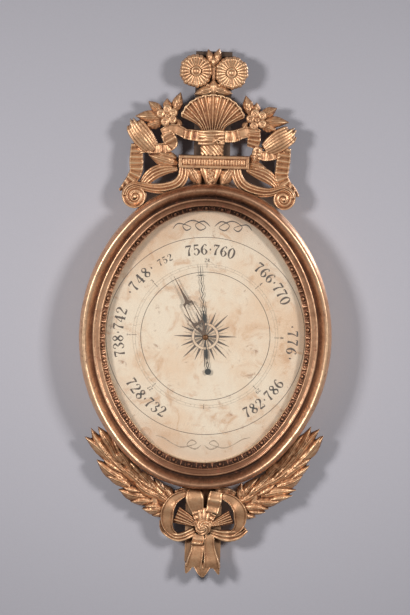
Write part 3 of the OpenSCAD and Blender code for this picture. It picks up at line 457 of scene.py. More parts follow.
def gilding(name, light, mid, dark, dirt_and_shade, reach=0.010, hollow_gain=0.9, wear=0.5, metal=0.6, gloss=0.4):
    """Old gold leaf over red clay: bright on edges, brown with dirt and painted shade in hollows, rubbed
    through in places.
    """
    k = Look(name)
    cloud = k.noise(38, 4)
    fine = k.noise(240, 3, 0.6)
    speck = k.noise(620, 2, 0.6)
    # the hollow attribute holds dirt in hollows and the painted shade that carve and moulding add
    hollow = k.attribute("hollow")
    level = k.math("MULTIPLY_ADD", hollow, hollow_gain, 0.42)
    level = k.math("ADD", level, k.math("MULTIPLY_ADD", cloud, 0.5, -0.25))
    level = k.math("ADD", level, k.math("MULTIPLY_ADD", fine, 0.34, -0.17))
    gold = k.ramp(level, [(0.0, light), (0.36, mid), (0.66, dark), (1.0, dirt_and_shade)])
    # painted shade: ambient occlusion turns the gold to the dark colour in crevices
    open_sky = k.span(k.crevice(reach), 0.15, 0.85)
    gold = k.mix(k.span(open_sky, 0.0, 0.8, 0.8, 0.0), gold, dirt_and_shade)
    clay = k.mix(fine, colour(120, 62, 44), colour(150, 88, 62))
    rubbed = k.math("MULTIPLY", k.span(k.noise(95, 5, 0.65), 0.56, 0.68), wear)
    gold = k.mix(rubbed, gold, clay)
    grime = k.math("MULTIPLY", k.span(speck, 0.6, 0.75), 0.35)
    gold = k.mix(grime, gold, dirt_and_shade)
    shine = k.span(open_sky, 0.1, 0.6, 0.3, metal)
    shine = k.math("SUBTRACT", shine, k.math("MULTIPLY", rubbed, 0.6), clamp=True)
    rough = k.math("MULTIPLY_ADD", fine, 0.28, gloss - 0.14)
    rough = k.math("ADD", rough, k.span(level, 0.5, 1.0, 0.0, 0.25), clamp=True)
    k.set(Base_Color=gold, Metallic=shine, Roughness=rough)
    first = k.bump(k.noise(150, 4, 0.6), 0.0005, 0.5)
    k.bump(speck, 0.0002, 0.4, first)
    return k.m


# Heights in metres between which the painted shade behind the crest begins
CREST_SHADE = 0.27, 0.33


def wood(name, light, dark):
    """Old wood with an upright grain, with painted shade in crevices and behind the crest."""
    k = Look(name)
    lines = k.noise(6, 6, 0.62, k.stretch(60, 60, 3), 0.6)
    pores = k.noise(14, 3, 0.7, k.stretch(180, 180, 6))
    blotch = k.noise(14, 3)
    c = k.ramp(lines, [(0.3, dark), (0.55, light), (0.75, dark)])
    c = k.mix(k.span(pores, 0.55, 0.8, 0, 0.45), c, dark)
    c = k.mix(k.math("MULTIPLY", blotch, 0.35), c, dark)
    # painted shade in crevices, from ambient occlusion
    c = k.mix(k.span(k.crevice(0.012), 0.2, 0.8, 0.6, 0.0), c, colour(30, 20, 13))
    # painted shade on the wood behind the crest, above the given heights
    place = k.node("ShaderNodeSeparateXYZ")
    k.put(place.inputs[0], k.stretch(1, 1, 1))
    c = k.mix(k.span(place.outputs["Z"], *CREST_SHADE, 0.0, 0.88), c, colour(46, 32, 26))
    k.set(Base_Color=c, Roughness=k.math("MULTIPLY_ADD", lines, 0.2, 0.5))
    k.bump(lines, 0.0004, 0.5)
    return k.m


def metal(name, light, dark, gloss=0.25, cloud=60, stain=0.4, full=1.0):
    """Metal with stains and painted shade in crevices; full is how metallic it is."""
    k = Look(name)
    wide, fine = k.noise(cloud, 4), k.noise(cloud * 9, 3)
    c = k.mix(k.span(wide, 0.35, 0.7, 0, stain), light, dark)
    # painted shade: ambient occlusion darkens the metal in crevices
    c = k.mix(k.span(k.crevice(0.003), 0.2, 0.8, 0.6, 0.0), c, dark)
    k.set(Base_Color=c, Metallic=full, Roughness=k.math("MULTIPLY_ADD", fine, 0.2, gloss))
    k.bump(fine, 0.0001, 0.35)
    return k.m


def clear(name, tint, veil=0.12):
    """Thin clear glass: what lies behind shows, with the gloss of its surface."""
    k = Look(name)
    k.set(Base_Color=tint, Roughness=0.04, IOR=1.45, Alpha=veil)
    k.bump(k.noise(20, 2), 0.0006, 0.06)
    k.m.surface_render_method = "BLENDED"
    return k.m


def plain_look(name, light, dark, rough=0.6, scale=90, bump=0.0003):
    """Dull stuff that wavers between two colours."""
    k = Look(name)
    n = k.noise(scale, 4)
    k.set(Base_Color=k.mix(k.span(n, 0.35, 0.65), light, dark),
          Roughness=k.math("MULTIPLY_ADD", n, 0.2, rough - 0.1))
    k.bump(k.noise(scale * 4, 3), bump, 0.5)
    return k.m


GOLD_LIGHT, GOLD_MID = colour(255, 216, 172), colour(222, 170, 128)
GOLD_DARK, GOLD_DIRT_AND_SHADE = colour(140, 92, 62), colour(48, 29, 19)
gilt = gilding("gilt_carving", GOLD_LIGHT, GOLD_MID, GOLD_DARK, GOLD_DIRT_AND_SHADE)
gilt_frame = gilding("gilt_moulding", colour(255, 214, 174), colour(220, 168, 132), colour(144, 98, 72),
                     colour(56, 35, 25), reach=0.016, hollow_gain=0.5, wear=0.7, metal=0.7, gloss=0.36)
pine = wood("pine", colour(206, 164, 126), colour(150, 108, 76))
board = wood("dial_board_wood", colour(168, 130, 90), colour(104, 72, 44))
brass = metal("brass", colour(222, 178, 100), colour(120, 84, 40))
hand_brass = metal("hand_brass", colour(138, 98, 64), colour(70, 46, 30), 0.4, full=0.55)
iron = metal("iron", colour(96, 92, 88), colour(50, 40, 34), 0.45)
blued = metal("blued_steel", colour(44, 40, 42), colour(26, 20, 19), 0.32)
mercury = metal("mercury", colour(226, 228, 232), colour(190, 192, 198), 0.05, 20, 0.2)
tube_glass = clear("tube_glass", colour(214, 226, 220))
window_glass = clear("window_glass", colour(230, 236, 232), veil=0.05)
float_look = plain_look("float_glass", colour(214, 220, 214), colour(180, 190, 184), 0.15)
silk = plain_look("silk", colour(214, 200, 160), colour(160, 142, 104), 0.8, 900)
card = plain_look("spacer_card", colour(222, 204, 170), colour(190, 166, 128), 0.85, 60)

# Frame moulding with its carved inner band

HALF_W, HALF_H, JOINT_ANGLE = 223.5, FRAME_TOP, math.radians(45)
ARC_SHIFT = (HALF_H - HALF_W) / (math.cos(JOINT_ANGLE) + math.sin(JOINT_ANGLE) - 1)
SIDE_X, END_Y = ARC_SHIFT * math.cos(JOINT_ANGLE), ARC_SHIFT * math.sin(JOINT_ANGLE)
SIDE_R, END_R = HALF_W + SIDE_X, HALF_H - END_Y


def oval(count, off=0.0):
    """Points on the oval, their outward normals and how far along it they lie, for even steps."""
    quarter = math.pi / 2
    arcs = [((-SIDE_X, 0), SIDE_R, -JOINT_ANGLE), ((0, END_Y), END_R, JOINT_ANGLE),
            ((SIDE_X, 0), SIDE_R, math.pi - JOINT_ANGLE), ((0, -END_Y), END_R, math.pi + JOINT_ANGLE)]
    lengths = [(r + off) * quarter for _, r, _ in arcs]
    starts = np.concatenate([[0], np.cumsum(lengths)])
    run = np.linspace(0, starts[-1], count, endpoint=False)
    where = np.searchsorted(starts, run, side="right") - 1
    c = np.array([a[0] for a in arcs])[where]
    r = np.array([a[1] for a in arcs])[where] + off
    ang = np.array([a[2] for a in arcs])[where] + (run - starts[where]) / r
    nor = np.stack([np.cos(ang), np.sin(ang)], 1)
    return c + nor * r[:, None], nor, run, starts[-1]


SWELL = spline([(0, 57), (-0.6, 60.6), (-2, 64.6), (-4, 68.4), (-6, 70.9), (-8.5, 72), (-11, 71.3),
                (-14, 68.8), (-17, 65), (-19.5, 61.2), (-21.4, 58.8), (-22.6, 58.1), (-23.3, 58.8),
                (-23.8, 60.2), (-24.4, 61.5), (-25.4, 62.1)], 2)
MOULD = [(0, 30), (0, 40), (0, 50)] + [tuple(q) for q in SWELL] + [
    (-26.6, 62.2), (-27.6, 61.9), (-28.2, 61.2), (-28.7, 60.7), (-30, 60.3), (-32, 60), (-34, 59.8),
    (-35.2, 59.7), (-35.8, 60), (-36.5, 60), (-37.2, 59.4), (-38, 58)]
BAND_OUT, BAND_IN, BAND_STEPS = (-38.3, 57.2), (-46.0, 53.2), 20
UNDER = [(-46.5, 52.4), (-47, 51.4), (-47, 50), (-47, 48.2), (-44, 48), (-39, 48), (-39, 40), (-39, 30),
         (-39, 26), (-30, 26), (-15, 26), (0, 26)]
PEARL_STEP = 28.0
MID_BAND, BAND_ACROSS, BAND_SINK = -42.0, 8.4, 2.3
# Dirt and painted shade on the section, by how far it lies inside the outer edge; on the outer edge it is
# painted shade alone
SOOT_AND_SHADE_AT = [0, 5, 7, 11, 17, 23, 24.5, 36, 38, 46]
SOOT_AND_SHADE = [0.3, 0.2, 0, 0, 0.45, 0.55, 0.05, 0, 0.7, 0.5]


def band_height(x, y):
    """Carved height of the inner band: a pearl, the rim of a leaf round it and a dart between two leaves."""
    r = np.hypot(x, y + 0.4)
    pearl = 3.2 * np.sqrt(np.maximum(0, 1 - (r / 3.3) ** 2))
    rim = 2.5 * np.exp(-((r - 6.2) / 1.1) ** 2) * (0.55 + 0.45 * np.tanh(y))
    gap = np.abs(np.abs(x) - PEARL_STEP / 2)
    dart = 2.7 * np.clip(1 - gap / np.maximum(0.3, 1.2 + 3.4 * (0.55 - y / 7.4)), 0, 1)
    lip = 1.6 * (np.exp(-((y - 3.9) / 0.5) ** 2) + np.exp(-((y + 3.9) / 0.5) ** 2))
    return np.maximum(np.maximum(pearl, rim), np.maximum(dart, lip))


def moulding():
    count = 1440
    at, nor, run, total = oval(count, MID_BAND)
    edge = at - nor * MID_BAND
    repeats = round(total / PEARL_STEP)
    x = ((run / total * repeats + 0.5) % 1 - 0.5) * PEARL_STEP
    profile = [(o, z, 0) for o, z in MOULD]
    for v in np.linspace(0, 1, BAND_STEPS):
        o, z = (a + (b - a) * v for a, b in zip(BAND_OUT, BAND_IN))
        profile.append((o, z, band_height(x, (0.5 - v) * BAND_ACROSS) - BAND_SINK))
    profile += [(o, z, 0) for o, z in UNDER]
    rows = [np.column_stack([edge + nor * o, np.full(count, z) + h]) for o, z, h in profile]
    s = Shell()
    s.loft(np.array(rows).transpose(1, 0, 2)[:, ::-1], closed=True)
    ob = add_object("frame_moulding", s.mesh("frame_moulding"))
    me = ob.data
    co, edges = coords(me), edges_of(me)
    shift = 0.22 * value_noise(co, 22, 4) + 0.12 * value_noise(co, 7, 6) - 0.4
    shift[co[:, 1] >= -(BED + 0.5) * MM] = 0
    co += normals(me) * (shift * MM)[:, None]
    move_points(me, co)
    n = normals(me)
    hollow = 0.6 * hollow_of(co, edges, n, 3) + 0.6 * hollow_of(co, edges, n, 12)
    # dirt and painted shade by place on the section
    soot_and_shade = np.interp([-o for o, z, h in profile[::-1]], SOOT_AND_SHADE_AT, SOOT_AND_SHADE)
    # painted shade: darker gold at the oval's two ends than at its sides, and a little on the right
    painted_end_shade = np.repeat(0.75 * nor[:, 1] ** 2 + 0.08 * nor[:, 0] - 0.33, len(profile))
    paint(me, hollow + np.tile(soot_and_shade, count) + painted_end_shade)
    me.shade_smooth()
    return ob


dress(moulding(), gilt_frame, "case", "gilding", "frame_right", "frame_top", "frame_left", "frame_bottom")

# Dial: foxed paper, with the ink in thin raised strokes

PAPER_FRONT = 36.5
INK_LEVEL = PAPER_FRONT + 0.02
INK_T = 0.06


class Ink:
    """Thin solids on the paper, each from an outline of points in dial millimetres."""

    def __init__(self, name):
        self.name, self.low, self.high = name, INK_LEVEL, INK_LEVEL + INK_T
        self.v, self.f = [], []

    def ribbon(self, left, right, closed=False):
        left, right = np.asarray(left, float), np.asarray(right, float)
        m, base = len(left), len(self.v)
        for z in (self.low, self.high):
            for line in (left, right):
                self.v += [(p[0], p[1], z) for p in line]
        a, b, c, d = base, base + m, base + 2 * m, base + 3 * m
        for i in range(m if closed else m - 1):
            j = (i + 1) % m
            self.f += [(c + i, d + i, d + j, c + j), (b + i, a + i, a + j, b + j),
                       (a + i, c + i, c + j, a + j), (d + i, b + i, b + j, d + j)]
        if not closed:
            e = m - 1
            self.f += [(a, b, d, c), (b + e, a + e, c + e, d + e)]

    def stroke(self, points, steps=6):
        """Pen stroke through [x, y, width] points."""
        p = spline(points, steps)
        t = unit(np.gradient(p[:, :2], axis=0))
        n = np.stack([-t[:, 1], t[:, 0]], 1) * p[:, 2:3] / 2
        self.ribbon(p[:, :2] + n, p[:, :2] - n)

    def ring(self, r, w, count=240):
        a = np.radians(np.linspace(0, 360, count, endpoint=False))
        d = np.stack([np.sin(a), np.cos(a)], 1)
        self.ribbon(d * (r - w / 2), d * (r + w / 2), closed=True)

    def wedge(self, a, r0, r1, w0, w1):
        """Straight bar along a radius, at clock angle a."""
        d, n = np.array(polar((0, 0), 1, a)), np.array(polar((0, 0), 1, a + 90))
        self.ribbon([d * r0 - n * w0 / 2, d * r1 - n * w1 / 2], [d * r0 + n * w0 / 2, d * r1 + n * w1 / 2])

    def make(self, look):
        dress(mesh_object(self.name, to_world(np.array(self.v)), self.f), look, "case", "dial_paper")


# Numerals: width and pen strokes of (x, y, stroke width), for a height of 1
DIGITS = {
    "0": (0.6, [[(0.3, 1, 0.04), (0.08, 0.72, 0.13), (0.08, 0.28, 0.13), (0.3, 0, 0.04), (0.52, 0.28, 0.13),
                 (0.52, 0.72, 0.13), (0.3, 1, 0.04)]]),
    "2": (0.6, [[(0.1, 0.74, 0.12), (0.14, 0.92, 0.05), (0.34, 0.99, 0.05), (0.52, 0.76, 0.15),
                 (0.3, 0.4, 0.07), (0.07, 0.08, 0.04)],
                [(0.07, 0.06, 0.1), (0.3, 0.07, 0.13), (0.54, 0.05, 0.07), (0.56, 0.2, 0.03)]]),
    "3": (0.58, [[(0.09, 0.8, 0.11), (0.16, 0.96, 0.05), (0.34, 0.98, 0.05), (0.48, 0.77, 0.14),
                  (0.24, 0.54, 0.04)],
                 [(0.24, 0.54, 0.04), (0.52, 0.3, 0.15), (0.34, 0.02, 0.05), (0.14, 0.04, 0.05),
                  (0.07, 0.2, 0.11)]]),
    "4": (0.62, [[(0.42, 0.98, 0.05), (0.03, 0.3, 0.05)], [(0.03, 0.29, 0.05), (0.6, 0.29, 0.05)],
                 [(0.43, 0.98, 0.15), (0.43, 0.02, 0.15)], [(0.27, 0.02, 0.05), (0.59, 0.02, 0.05)]]),
    "5": (0.58, [[(0.13, 0.98, 0.05), (0.11, 0.5, 0.05)], [(0.12, 0.93, 0.13), (0.5, 0.93, 0.1)],
                 [(0.11, 0.5, 0.05), (0.32, 0.62, 0.07), (0.53, 0.32, 0.15), (0.32, 0.02, 0.05),
                  (0.12, 0.05, 0.05), (0.07, 0.2, 0.11)]]),
    "6": (0.6, [[(0.5, 0.84, 0.11), (0.36, 0.98, 0.04), (0.12, 0.66, 0.13), (0.08, 0.3, 0.14),
                 (0.3, 0.01, 0.04), (0.53, 0.28, 0.14), (0.32, 0.56, 0.04), (0.1, 0.38, 0.05)]]),
    "7": (0.56, [[(0.06, 0.78, 0.03), (0.08, 0.94, 0.08), (0.3, 0.93, 0.13), (0.53, 0.94, 0.09)],
                 [(0.52, 0.94, 0.04), (0.28, 0.5, 0.09), (0.22, 0.02, 0.17)]]),
    "8": (0.6, [[(0.3, 0.53, 0.12), (0.11, 0.78, 0.1), (0.3, 0.99, 0.04), (0.49, 0.78, 0.1),
                 (0.3, 0.53, 0.12), (0.07, 0.26, 0.12), (0.3, 0.01, 0.04), (0.53, 0.26, 0.12),
                 (0.3, 0.53, 0.12)]]),
    "9": (0.6, [[(0.1, 0.16, 0.11), (0.24, 0.02, 0.04), (0.48, 0.34, 0.13), (0.52, 0.7, 0.14),
                 (0.3, 0.99, 0.04), (0.07, 0.72, 0.14), (0.28, 0.44, 0.04), (0.5, 0.62, 0.05)]]),
    ".": (0.3, [[(0.08, 0.5, 0.05), (0.15, 0.5, 0.16), (0.22, 0.5, 0.05)]]),
}
# How bold the pen is
STROKE = 1.35


def number(ink, text, angle, r, height, gap=0.2, inward=False):
    """Writes numerals along a circle, centred on a clock angle; inward turns their tops to the middle."""
    x = -(sum(DIGITS[c][0] for c in text) + gap * (len(text) - 1)) / 2
    for c in text:
        width, strokes = DIGITS[c]
        for st in strokes:
            out = []
            for px, py, w in spline(st, 6):
                rr = r + (1 - py if inward else py) * height
                a = angle + math.degrees((x + px) * height / (r + height / 2)) * (-1 if inward else 1)
                out.append((*polar((0, 0), rr, a), w * height * STROKE))
            ink.stroke(out, 1)
        x += width + gap


# Dial paper

ink_look = plain_look("ink", colour(66, 50, 42), colour(96, 74, 60), 0.8, 420, 0.0001)
faint_ink = plain_look("faint_ink", colour(150, 128, 108), colour(188, 166, 142), 0.85, 420, 0.0001)


def foxed_paper():
    """Old paper: pale, with peach clouds, brown fox marks and a painted shadow of the frame at its rim."""
    k = Look("foxed_paper")
    wide, mid, fine = k.noise(9, 5, 0.6), k.noise(30, 5, 0.65, None, 0.8), k.noise(300, 4, 0.6)
    c = k.mix(k.span(wide, 0.4, 0.66), colour(237, 220, 197), colour(231, 200, 168))
    c = k.mix(k.span(mid, 0.5, 0.72, 0, 0.75), c, colour(206, 158, 116))
    c = k.mix(k.span(k.noise(52, 4, 0.7, None, 0.5), 0.6, 0.74, 0, 0.7), c, colour(150, 100, 66))
    c = k.mix(k.span(fine, 0.55, 0.8, 0, 0.3), c, colour(160, 128, 98))
    # painted shadow of the frame: the paper darkens towards its rim
    radius = k.node("ShaderNodeVectorMath", operation="LENGTH")
    k.put(radius.inputs[0], k.stretch(1, 0, 0.9))
    rim = k.span(k.math("ADD", radius.outputs["Value"], k.math("MULTIPLY_ADD", wide, 0.05, -0.025)), 0.14,
                 0.21)
    c = k.mix(k.math("MULTIPLY", rim, 0.45), c, colour(176, 128, 92))
    k.set(Base_Color=c, Roughness=0.85)
    k.bump(fine, 0.0002, 0.3)
    return k.m


paper = foxed_paper()

# Radii of the two circles, of the scale and of the feet of its two rows of numerals
CIRCLES, SCALE, SCALE_NUMBERS, NUMBERS = (176.5, 114.6), (124.2, 128.8), 132.5, 145.5
# The scale has long marks at every 18th and short ones at every third of 144 steps
MARKS, LONG_MARK, SHORT_MARK = 144, 18, 3
# Height of the large numerals
BIG = 19

ink, faint = Ink("dial_ink"), Ink("dial_faint_ink")
for r in CIRCLES:
    ink.ring(r, 1.0)
for r in SCALE:
    faint.ring(r, 0.45)
for k in range(MARKS):
    a = k * 360 / MARKS
    if k % LONG_MARK == 0:
        ink.wedge(a, SCALE[0] - 2.2, SCALE[1] + 2.2, 0.9, 0.9)
    elif k % SHORT_MARK == 0:
        faint.wedge(a, *SCALE, 0.5, 0.5)
for a, text in [(0, "28"), (90, "8"), (135, "29"), (-135, "27"), (-90, "7"), (45, "4"), (-45, "3")]:
    number(ink, text, a, SCALE_NUMBERS, 6.5)
for a, text, r, h, inward in [
        (-137.5, "728.732", NUMBERS, BIG, True), (-88.5, "738.742", NUMBERS, BIG, False),
        (-50, ".748.", NUMBERS, BIG, False), (-29, "752", 148, 12, False),
        (2, "756.760", NUMBERS, BIG, False), (50.5, "766.770", NUMBERS, BIG, False),
        (93, ".776.", NUMBERS, BIG, False), (136, "782.786", NUMBERS, BIG, True)]:
    number(ink, text, a, r, h, 0.13 if len(text) > 5 else 0.24, inward)

# Star in the middle: long and short rays with a rose of dark wedges
ROSE, ROSE_IN, ROSE_OUT = 8, 19.4, 24.2
for k in range(2 * ROSE):
    a = k * 180 / ROSE
    ink.wedge(a, ROSE_OUT + 0.2, 55 if k % 2 == 0 else 46, 4.6, 0.5)
    faint.wedge(a + 90 / ROSE, ROSE_OUT + 0.2, 40, 2.4, 0.4)
for k in range(ROSE):
    a = k * 360 / ROSE
    ink.wedge(a, 3, 19, 1.0, 5.6)
    faint.wedge(a + 180 / ROSE, 4, 19, 0.6, 4.2)
for r in (ROSE_IN, ROSE_OUT):
    ink.ring(r, 0.7, 96)

# Pen flourishes without letters above and below, the upper ones 8 mm to the right
ABOVE = [(4, 196, 0.9), (16, 205, 2.6), (30, 198, 1.2), (22, 189, 2.4), (12, 195, 1.1), (34, 206, 2.4),
         (52, 197, 1.2), (46, 188, 2.4), (38, 194, 1.0), (60, 200, 2.2), (70, 190, 0.8)]
BELOW = [(3, -196, 1.0), (14, -203, 2.6), (28, -196, 1.3), (20, -187, 2.4), (12, -193, 1.2), (36, -200, 2.4),
         (52, -195, 1.4), (70, -184, 2.0), (84, -180, 0.8)]
for side in (-1, 1):
    ink.stroke([(side * x + 8, y, w) for x, y, w in ABOVE])
    faint.stroke([(side * x, y, w) for x, y, w in BELOW])
ink.make(ink_look)
faint.make(faint_ink)

# Hands, each drawn pointing up and turned to its place

HAND_T, HAND_BEVEL = 0.8, 0.12
STEEL_FRONT, SET_FRONT = 41.5, 44.6
STEEL_ANGLE, SET_ANGLE = -5.4, -28.5


def turned_points(points, angle):
    p = np.asarray(points, float)
    a = math.radians(angle)
    return np.stack([p[:, 0] * math.cos(a) + p[:, 1] * math.sin(a),
                     -p[:, 0] * math.sin(a) + p[:, 1] * math.cos(a)], 1)


class Hand:
    """Flat pierced hand: outlines with holes, filled and given a thickness."""

    def __init__(self, name, angle, front):
        self.name, self.angle, self.front = name, angle, front
        self.curve = bpy.data.curves.new(name, "CURVE")
        self.curve.dimensions = "2D"
        self.curve.fill_mode = "BOTH"

    def outline(self, points):
        p = turned_points(points, self.angle)
        s = self.curve.splines.new("POLY")
        s.points.add(len(p) - 1)
        flat = [np.zeros((len(p), 1)), np.ones((len(p), 1))]
        s.points.foreach_set("co", np.concatenate([p, *flat], 1).ravel() * MM)
        s.use_cyclic_u = True

    def mirror(self, half):
        """Outline from the right half, given from bottom to top."""
        self.outline(half + [(-x, y) for x, y in reversed(half)])

    def ring(self, c, r, count=32):
        self.outline([polar(c, r, a) for a in np.linspace(0, 360, count, endpoint=False)])

    def make(self, look, body, node, slot_name):
        self.curve.extrude = (HAND_T / 2 - HAND_BEVEL) * MM
        self.curve.bevel_depth = HAND_BEVEL * MM
        self.curve.bevel_resolution = 1
        self.curve.offset = -HAND_BEVEL * MM
        tmp = bpy.data.objects.new(self.name, self.curve)
        scene.collection.objects.link(tmp)
        bpy.context.view_layer.update()
        me = bpy.data.meshes.new_from_object(tmp.evaluated_get(bpy.context.evaluated_depsgraph_get()))
        bpy.data.objects.remove(tmp)
        co = coords(me)
        depth = (self.front - HAND_T / 2) * MM + co[:, 2]
        me.vertices.foreach_set("co", np.stack([co[:, 0], -depth, co[:, 1]], 1).ravel())
        me.flip_normals()
        me.update()
        me.materials.clear()
        dress(add_object(self.name, me), look, body, slot_name, node)


def wavy(r0, r1, w0, w1, swing, turns):
    """Waved stretch of a hand between two radii, as [x, y, width] points."""
    t = np.linspace(0, 1, 60)
    x = swing * np.sin(2 * math.pi * turns * t) * (1 - t) ** 0.6 * np.minimum(1, t * 8)
    return list(zip(x, r0 + (r1 - r0) * t, w0 + (w1 - w0) * t))


def between(line):
    """Closed outline round [x, y, width] points."""
    return [(x + w / 2, y) for x, y, w in line] + [(x - w / 2, y) for x, y, w in reversed(line)]


def rounded(half_w, half_h, at, low, high, count):
    """Widths up a round form, as [x, y, width] points."""
    return [(0, y + at, max(0.4, 2 * half_w * math.sqrt(max(0, 1 - (y / half_h) ** 2))))
            for y in np.linspace(low, high, count)]


STEEL_LOW = [(-57, 1.4), (-55, 3.0), (-51, 4.6), (-47, 3.6), (-44, 1.6), (-42, 1.8), (-37, 4.2), (-33, 5.0),
             (-28, 4.2), (-20, 1.8), (-10, 1.5), (-5, 2.2)]
STEEL_MID = [(5, 2.4), (12, 1.7), (22, 1.7), (26, 3.2), (30, 5.0), (34, 5.6), (39, 4.2), (43.5, 1.8),
             (46, 3.6), (49.5, 5.0), (53, 4.0), (57, 1.6)]
STEEL_TIP = [(109.3, 1.3), (109.4, 8.4), (110.8, 8.4), (110.9, 1.3), (120, 1.0), (128, 0.35)]
straight = [[(0, y, w) for y, w in part] for part in (STEEL_LOW, STEEL_MID, STEEL_TIP)]
steel = Hand("steel_hand_wavy", STEEL_ANGLE, STEEL_FRONT)
steel.outline(between(rounded(5.7, 5.7, -63, -5.7, 5.4, 15) + straight[0] + rounded(4, 4.1, 0, -3.8, 3.8, 11)
                      + straight[1] + wavy(58, 109, 1.7, 1.3, 1.9, 3.5)[1:] + straight[2]))
steel.outline(between([(0, -55.2, 0.4), (0, -51, 2.3), (0, -46.6, 0.4)]))
steel.outline(between([(0, 45.6, 0.4), (0, 49.5, 2.8), (0, 54.6, 0.4)]))
steel.ring((0, 0), 1.5)
steel.make(blued, "pointer", "steel_hand", "blued_steel")

setter = Hand("set_hand_pierced", SET_ANGLE, SET_FRONT)
setter.mirror([(0.3, -6), (3.2, -5.1), (5.2, -3), (6, 0), (5.4, 2.6), (4.0, 5), (4.4, 9), (6.6, 15),
               (9.8, 22), (10.6, 26), (10.4, 31), (9.4, 48), (8.8, 60), (9.2, 66), (8.4, 69.2), (5.6, 70.2),
               (3.6, 72), (2.7, 75), (2.6, 78), (1.6, 90), (0.75, 101), (0.6, 112), (0.3, 122)])
setter.outline([(0, 28.8), (8.6, 30.6), (7.8, 48), (7.1, 59), (6.2, 65), (2.2, 66.8), (0, 64.4), (-2.2, 66.8),
                (-6.2, 65), (-7.1, 59), (-7.8, 48), (-8.6, 30.6)])
setter.outline([(0, 12), (2.4, 14), (6.0, 21), (7.6, 26.2), (0, 24.6), (-7.6, 26.2), (-6.0, 21), (-2.4, 14)])
setter.ring((0, 0), 1.27)
setter.make(hand_brass, "set_pointer", "set_hand", "brass")

knob = Shell()
turned(knob, (0, 0), [(0.2, 43.5), (1.25, 43.5), (1.25, 49.25), (4.3, 49.4), (4.5, 49.8), (4.5, 51.0),
                      (3.4, 51.6), (3.0, 52.2), (3.9, 53.0), (4.4, 54.0), (4.2, 55.1), (3.2, 55.8), (1.6, 56),
                      (0.2, 56)], 64, 0)
knob_ob = add_object("knob_turned", knob.mesh("knob_turned"))
knob_ob.data.shade_smooth()
dress(knob_ob, hand_brass, "set_pointer", "brass", "set_knob")


# Carving

CARVED = []


def carving(shell, name, node, voxel=0.85, marks=0.16, turns=2):
    dress(carve(shell, name, voxel, marks, turns), gilt, "case", "gilding", node)
    CARVED.append(node)


# Fan: curved flutes under a rolled rim, over a binding of cords and a twisted bundle
FAN_FLUTES, FAN_X, FAN_Y = 11, 4, 110


def fan_edge(s, inset=0.0):
    """Point on the fan's round edge, for s from -1 at its left end to 1 at its right."""
    a = math.radians(s * 80)
    return [FAN_X + (57 - inset) * math.sin(a), FAN_Y + (48 - inset) * math.cos(a)]


fan = Shell(FRAME_TOP)
for k in range(FAN_FLUTES):
    s = (k + 0.5) / FAN_FLUTES * 2 - 1
    tip = fan_edge(s, 2.5)
    near, far = 24 * abs(s), abs(tip[0] - FAN_X)
    middle = [FAN_X + math.copysign(near + (far - near) * 0.5, s), 103 + (tip[1] - 103) * 0.55, 11, 18.5]
    strip(fan, [[FAN_X + s * 18, 90, 5.4, 12], [FAN_X + s * 24, 103, 6.8, 14], middle, [*tip, 15.4, 21]],
          ribbed(2, 0.24, 0.36), 7, 25)
    lip = []
    for t in np.linspace(-1.05, 1.05, 9):
        at = fan_edge(s + t / FAN_FLUTES, 2.2 - 1.6 * math.cos(t * math.pi / 2))
        lip.append((*at, BED + 17.2 + 1.4 * math.cos(t * 1.5)))
    tube(fan, lip, 1.7)
for k in range(5):
    y = 71.5 + 5.2 * k
    tube(fan, [(x, y + 0.9 * math.sin(x * 0.13 + 1.7 * k), BED + 15.5 - (x - 2) ** 2 * 0.013)
               for x in np.linspace(-20, 25, 17)], 3.0)
tube(fan, [(6, 74, BED + 17), (13, 79, BED + 20), (21, 75, BED + 18), (14, 72, BED + 18), (8, 80, BED + 18)],
     [2.0, 2.6, 2.2, 2.2, 2.0])
for k in range(-2, 6):
    xs, ys = -14 + 6.4 * k + np.linspace(0, 17, 9), np.linspace(70, 50, 9)
    line = [(x, y, BED + 14 - (x - FAN_X) ** 2 * 0.022) for x, y in zip(xs, ys) if -16 < x < 24]
    if len(line) > 2:
        tube(fan, line, 3.5)
box(fan, (-16, 51), (24, 95), BED, BED + 9, 1)
carving(fan, "fan_carving", "crest_fan", voxel=0.75)

# Leaves under the plinth, with a tongue and a twisted cord between them
foot = Shell(FRAME_TOP)
for base, tip in (([-35, 32], [-14, -6]), ([41, 32], [20, -6])):
    leaf(foot, base, tip, 24, 18, vein=0.2, sides=6)
strip(foot, [[3, 33, 44, 14], [3, 22, 38, 16], [3, 10, 27, 17], [3, -2, 16, 15], [3, -8, 8, 12]],
      ribbed(5, 0.14, 0.5), 6, 33)
for k in range(6):
    side, y = 5 * (-1) ** k, 29 - 5.5 * k
    tube(foot, [(3 + side, y, BED + 15), (3 - side, y - 5, BED + 16)], 2.6, 10)
carving(foot, "plinth_leaf_carving", "crest_foot")

# Plinth bar: a frame round a row of small flutes
PLINTH_LOW, PLINTH_HIGH, PLINTH_T, PLINTH_FLUTES = (-54, 28), (70, 50), 24.0, 24
plinth = Shell(FRAME_TOP)
x0, y0, x1, y1 = *PLINTH_LOW, *PLINTH_HIGH
top = BED + PLINTH_T
box(plinth, (x0, y0), (x1, y1), BED, top - 3.0, 0.8)
for low, high in [((x0, y0), (x1, y0 + 5)), ((x0, y1 - 5), (x1, y1)), ((x0, y0), (x0 + 5.5, y1)),
                  ((x1 - 5.5, y0), (x1, y1))]:
    box(plinth, low, high, BED, top, 0.9)
for x in np.linspace(x0 + 8.6, x1 - 8.6, PLINTH_FLUTES):
    tube(plinth, [(x, y0 + 6.4, top - 4), (x, y0 + 7.4, top - 3), (x, y1 - 7.4, top - 3),
                  (x, y1 - 6.4, top - 4)],
         [1.3, 1.8, 1.8, 1.3], 12)
carving(plinth, "plinth_carving", "crest_plinth", voxel=0.6, marks=0.3, turns=1)


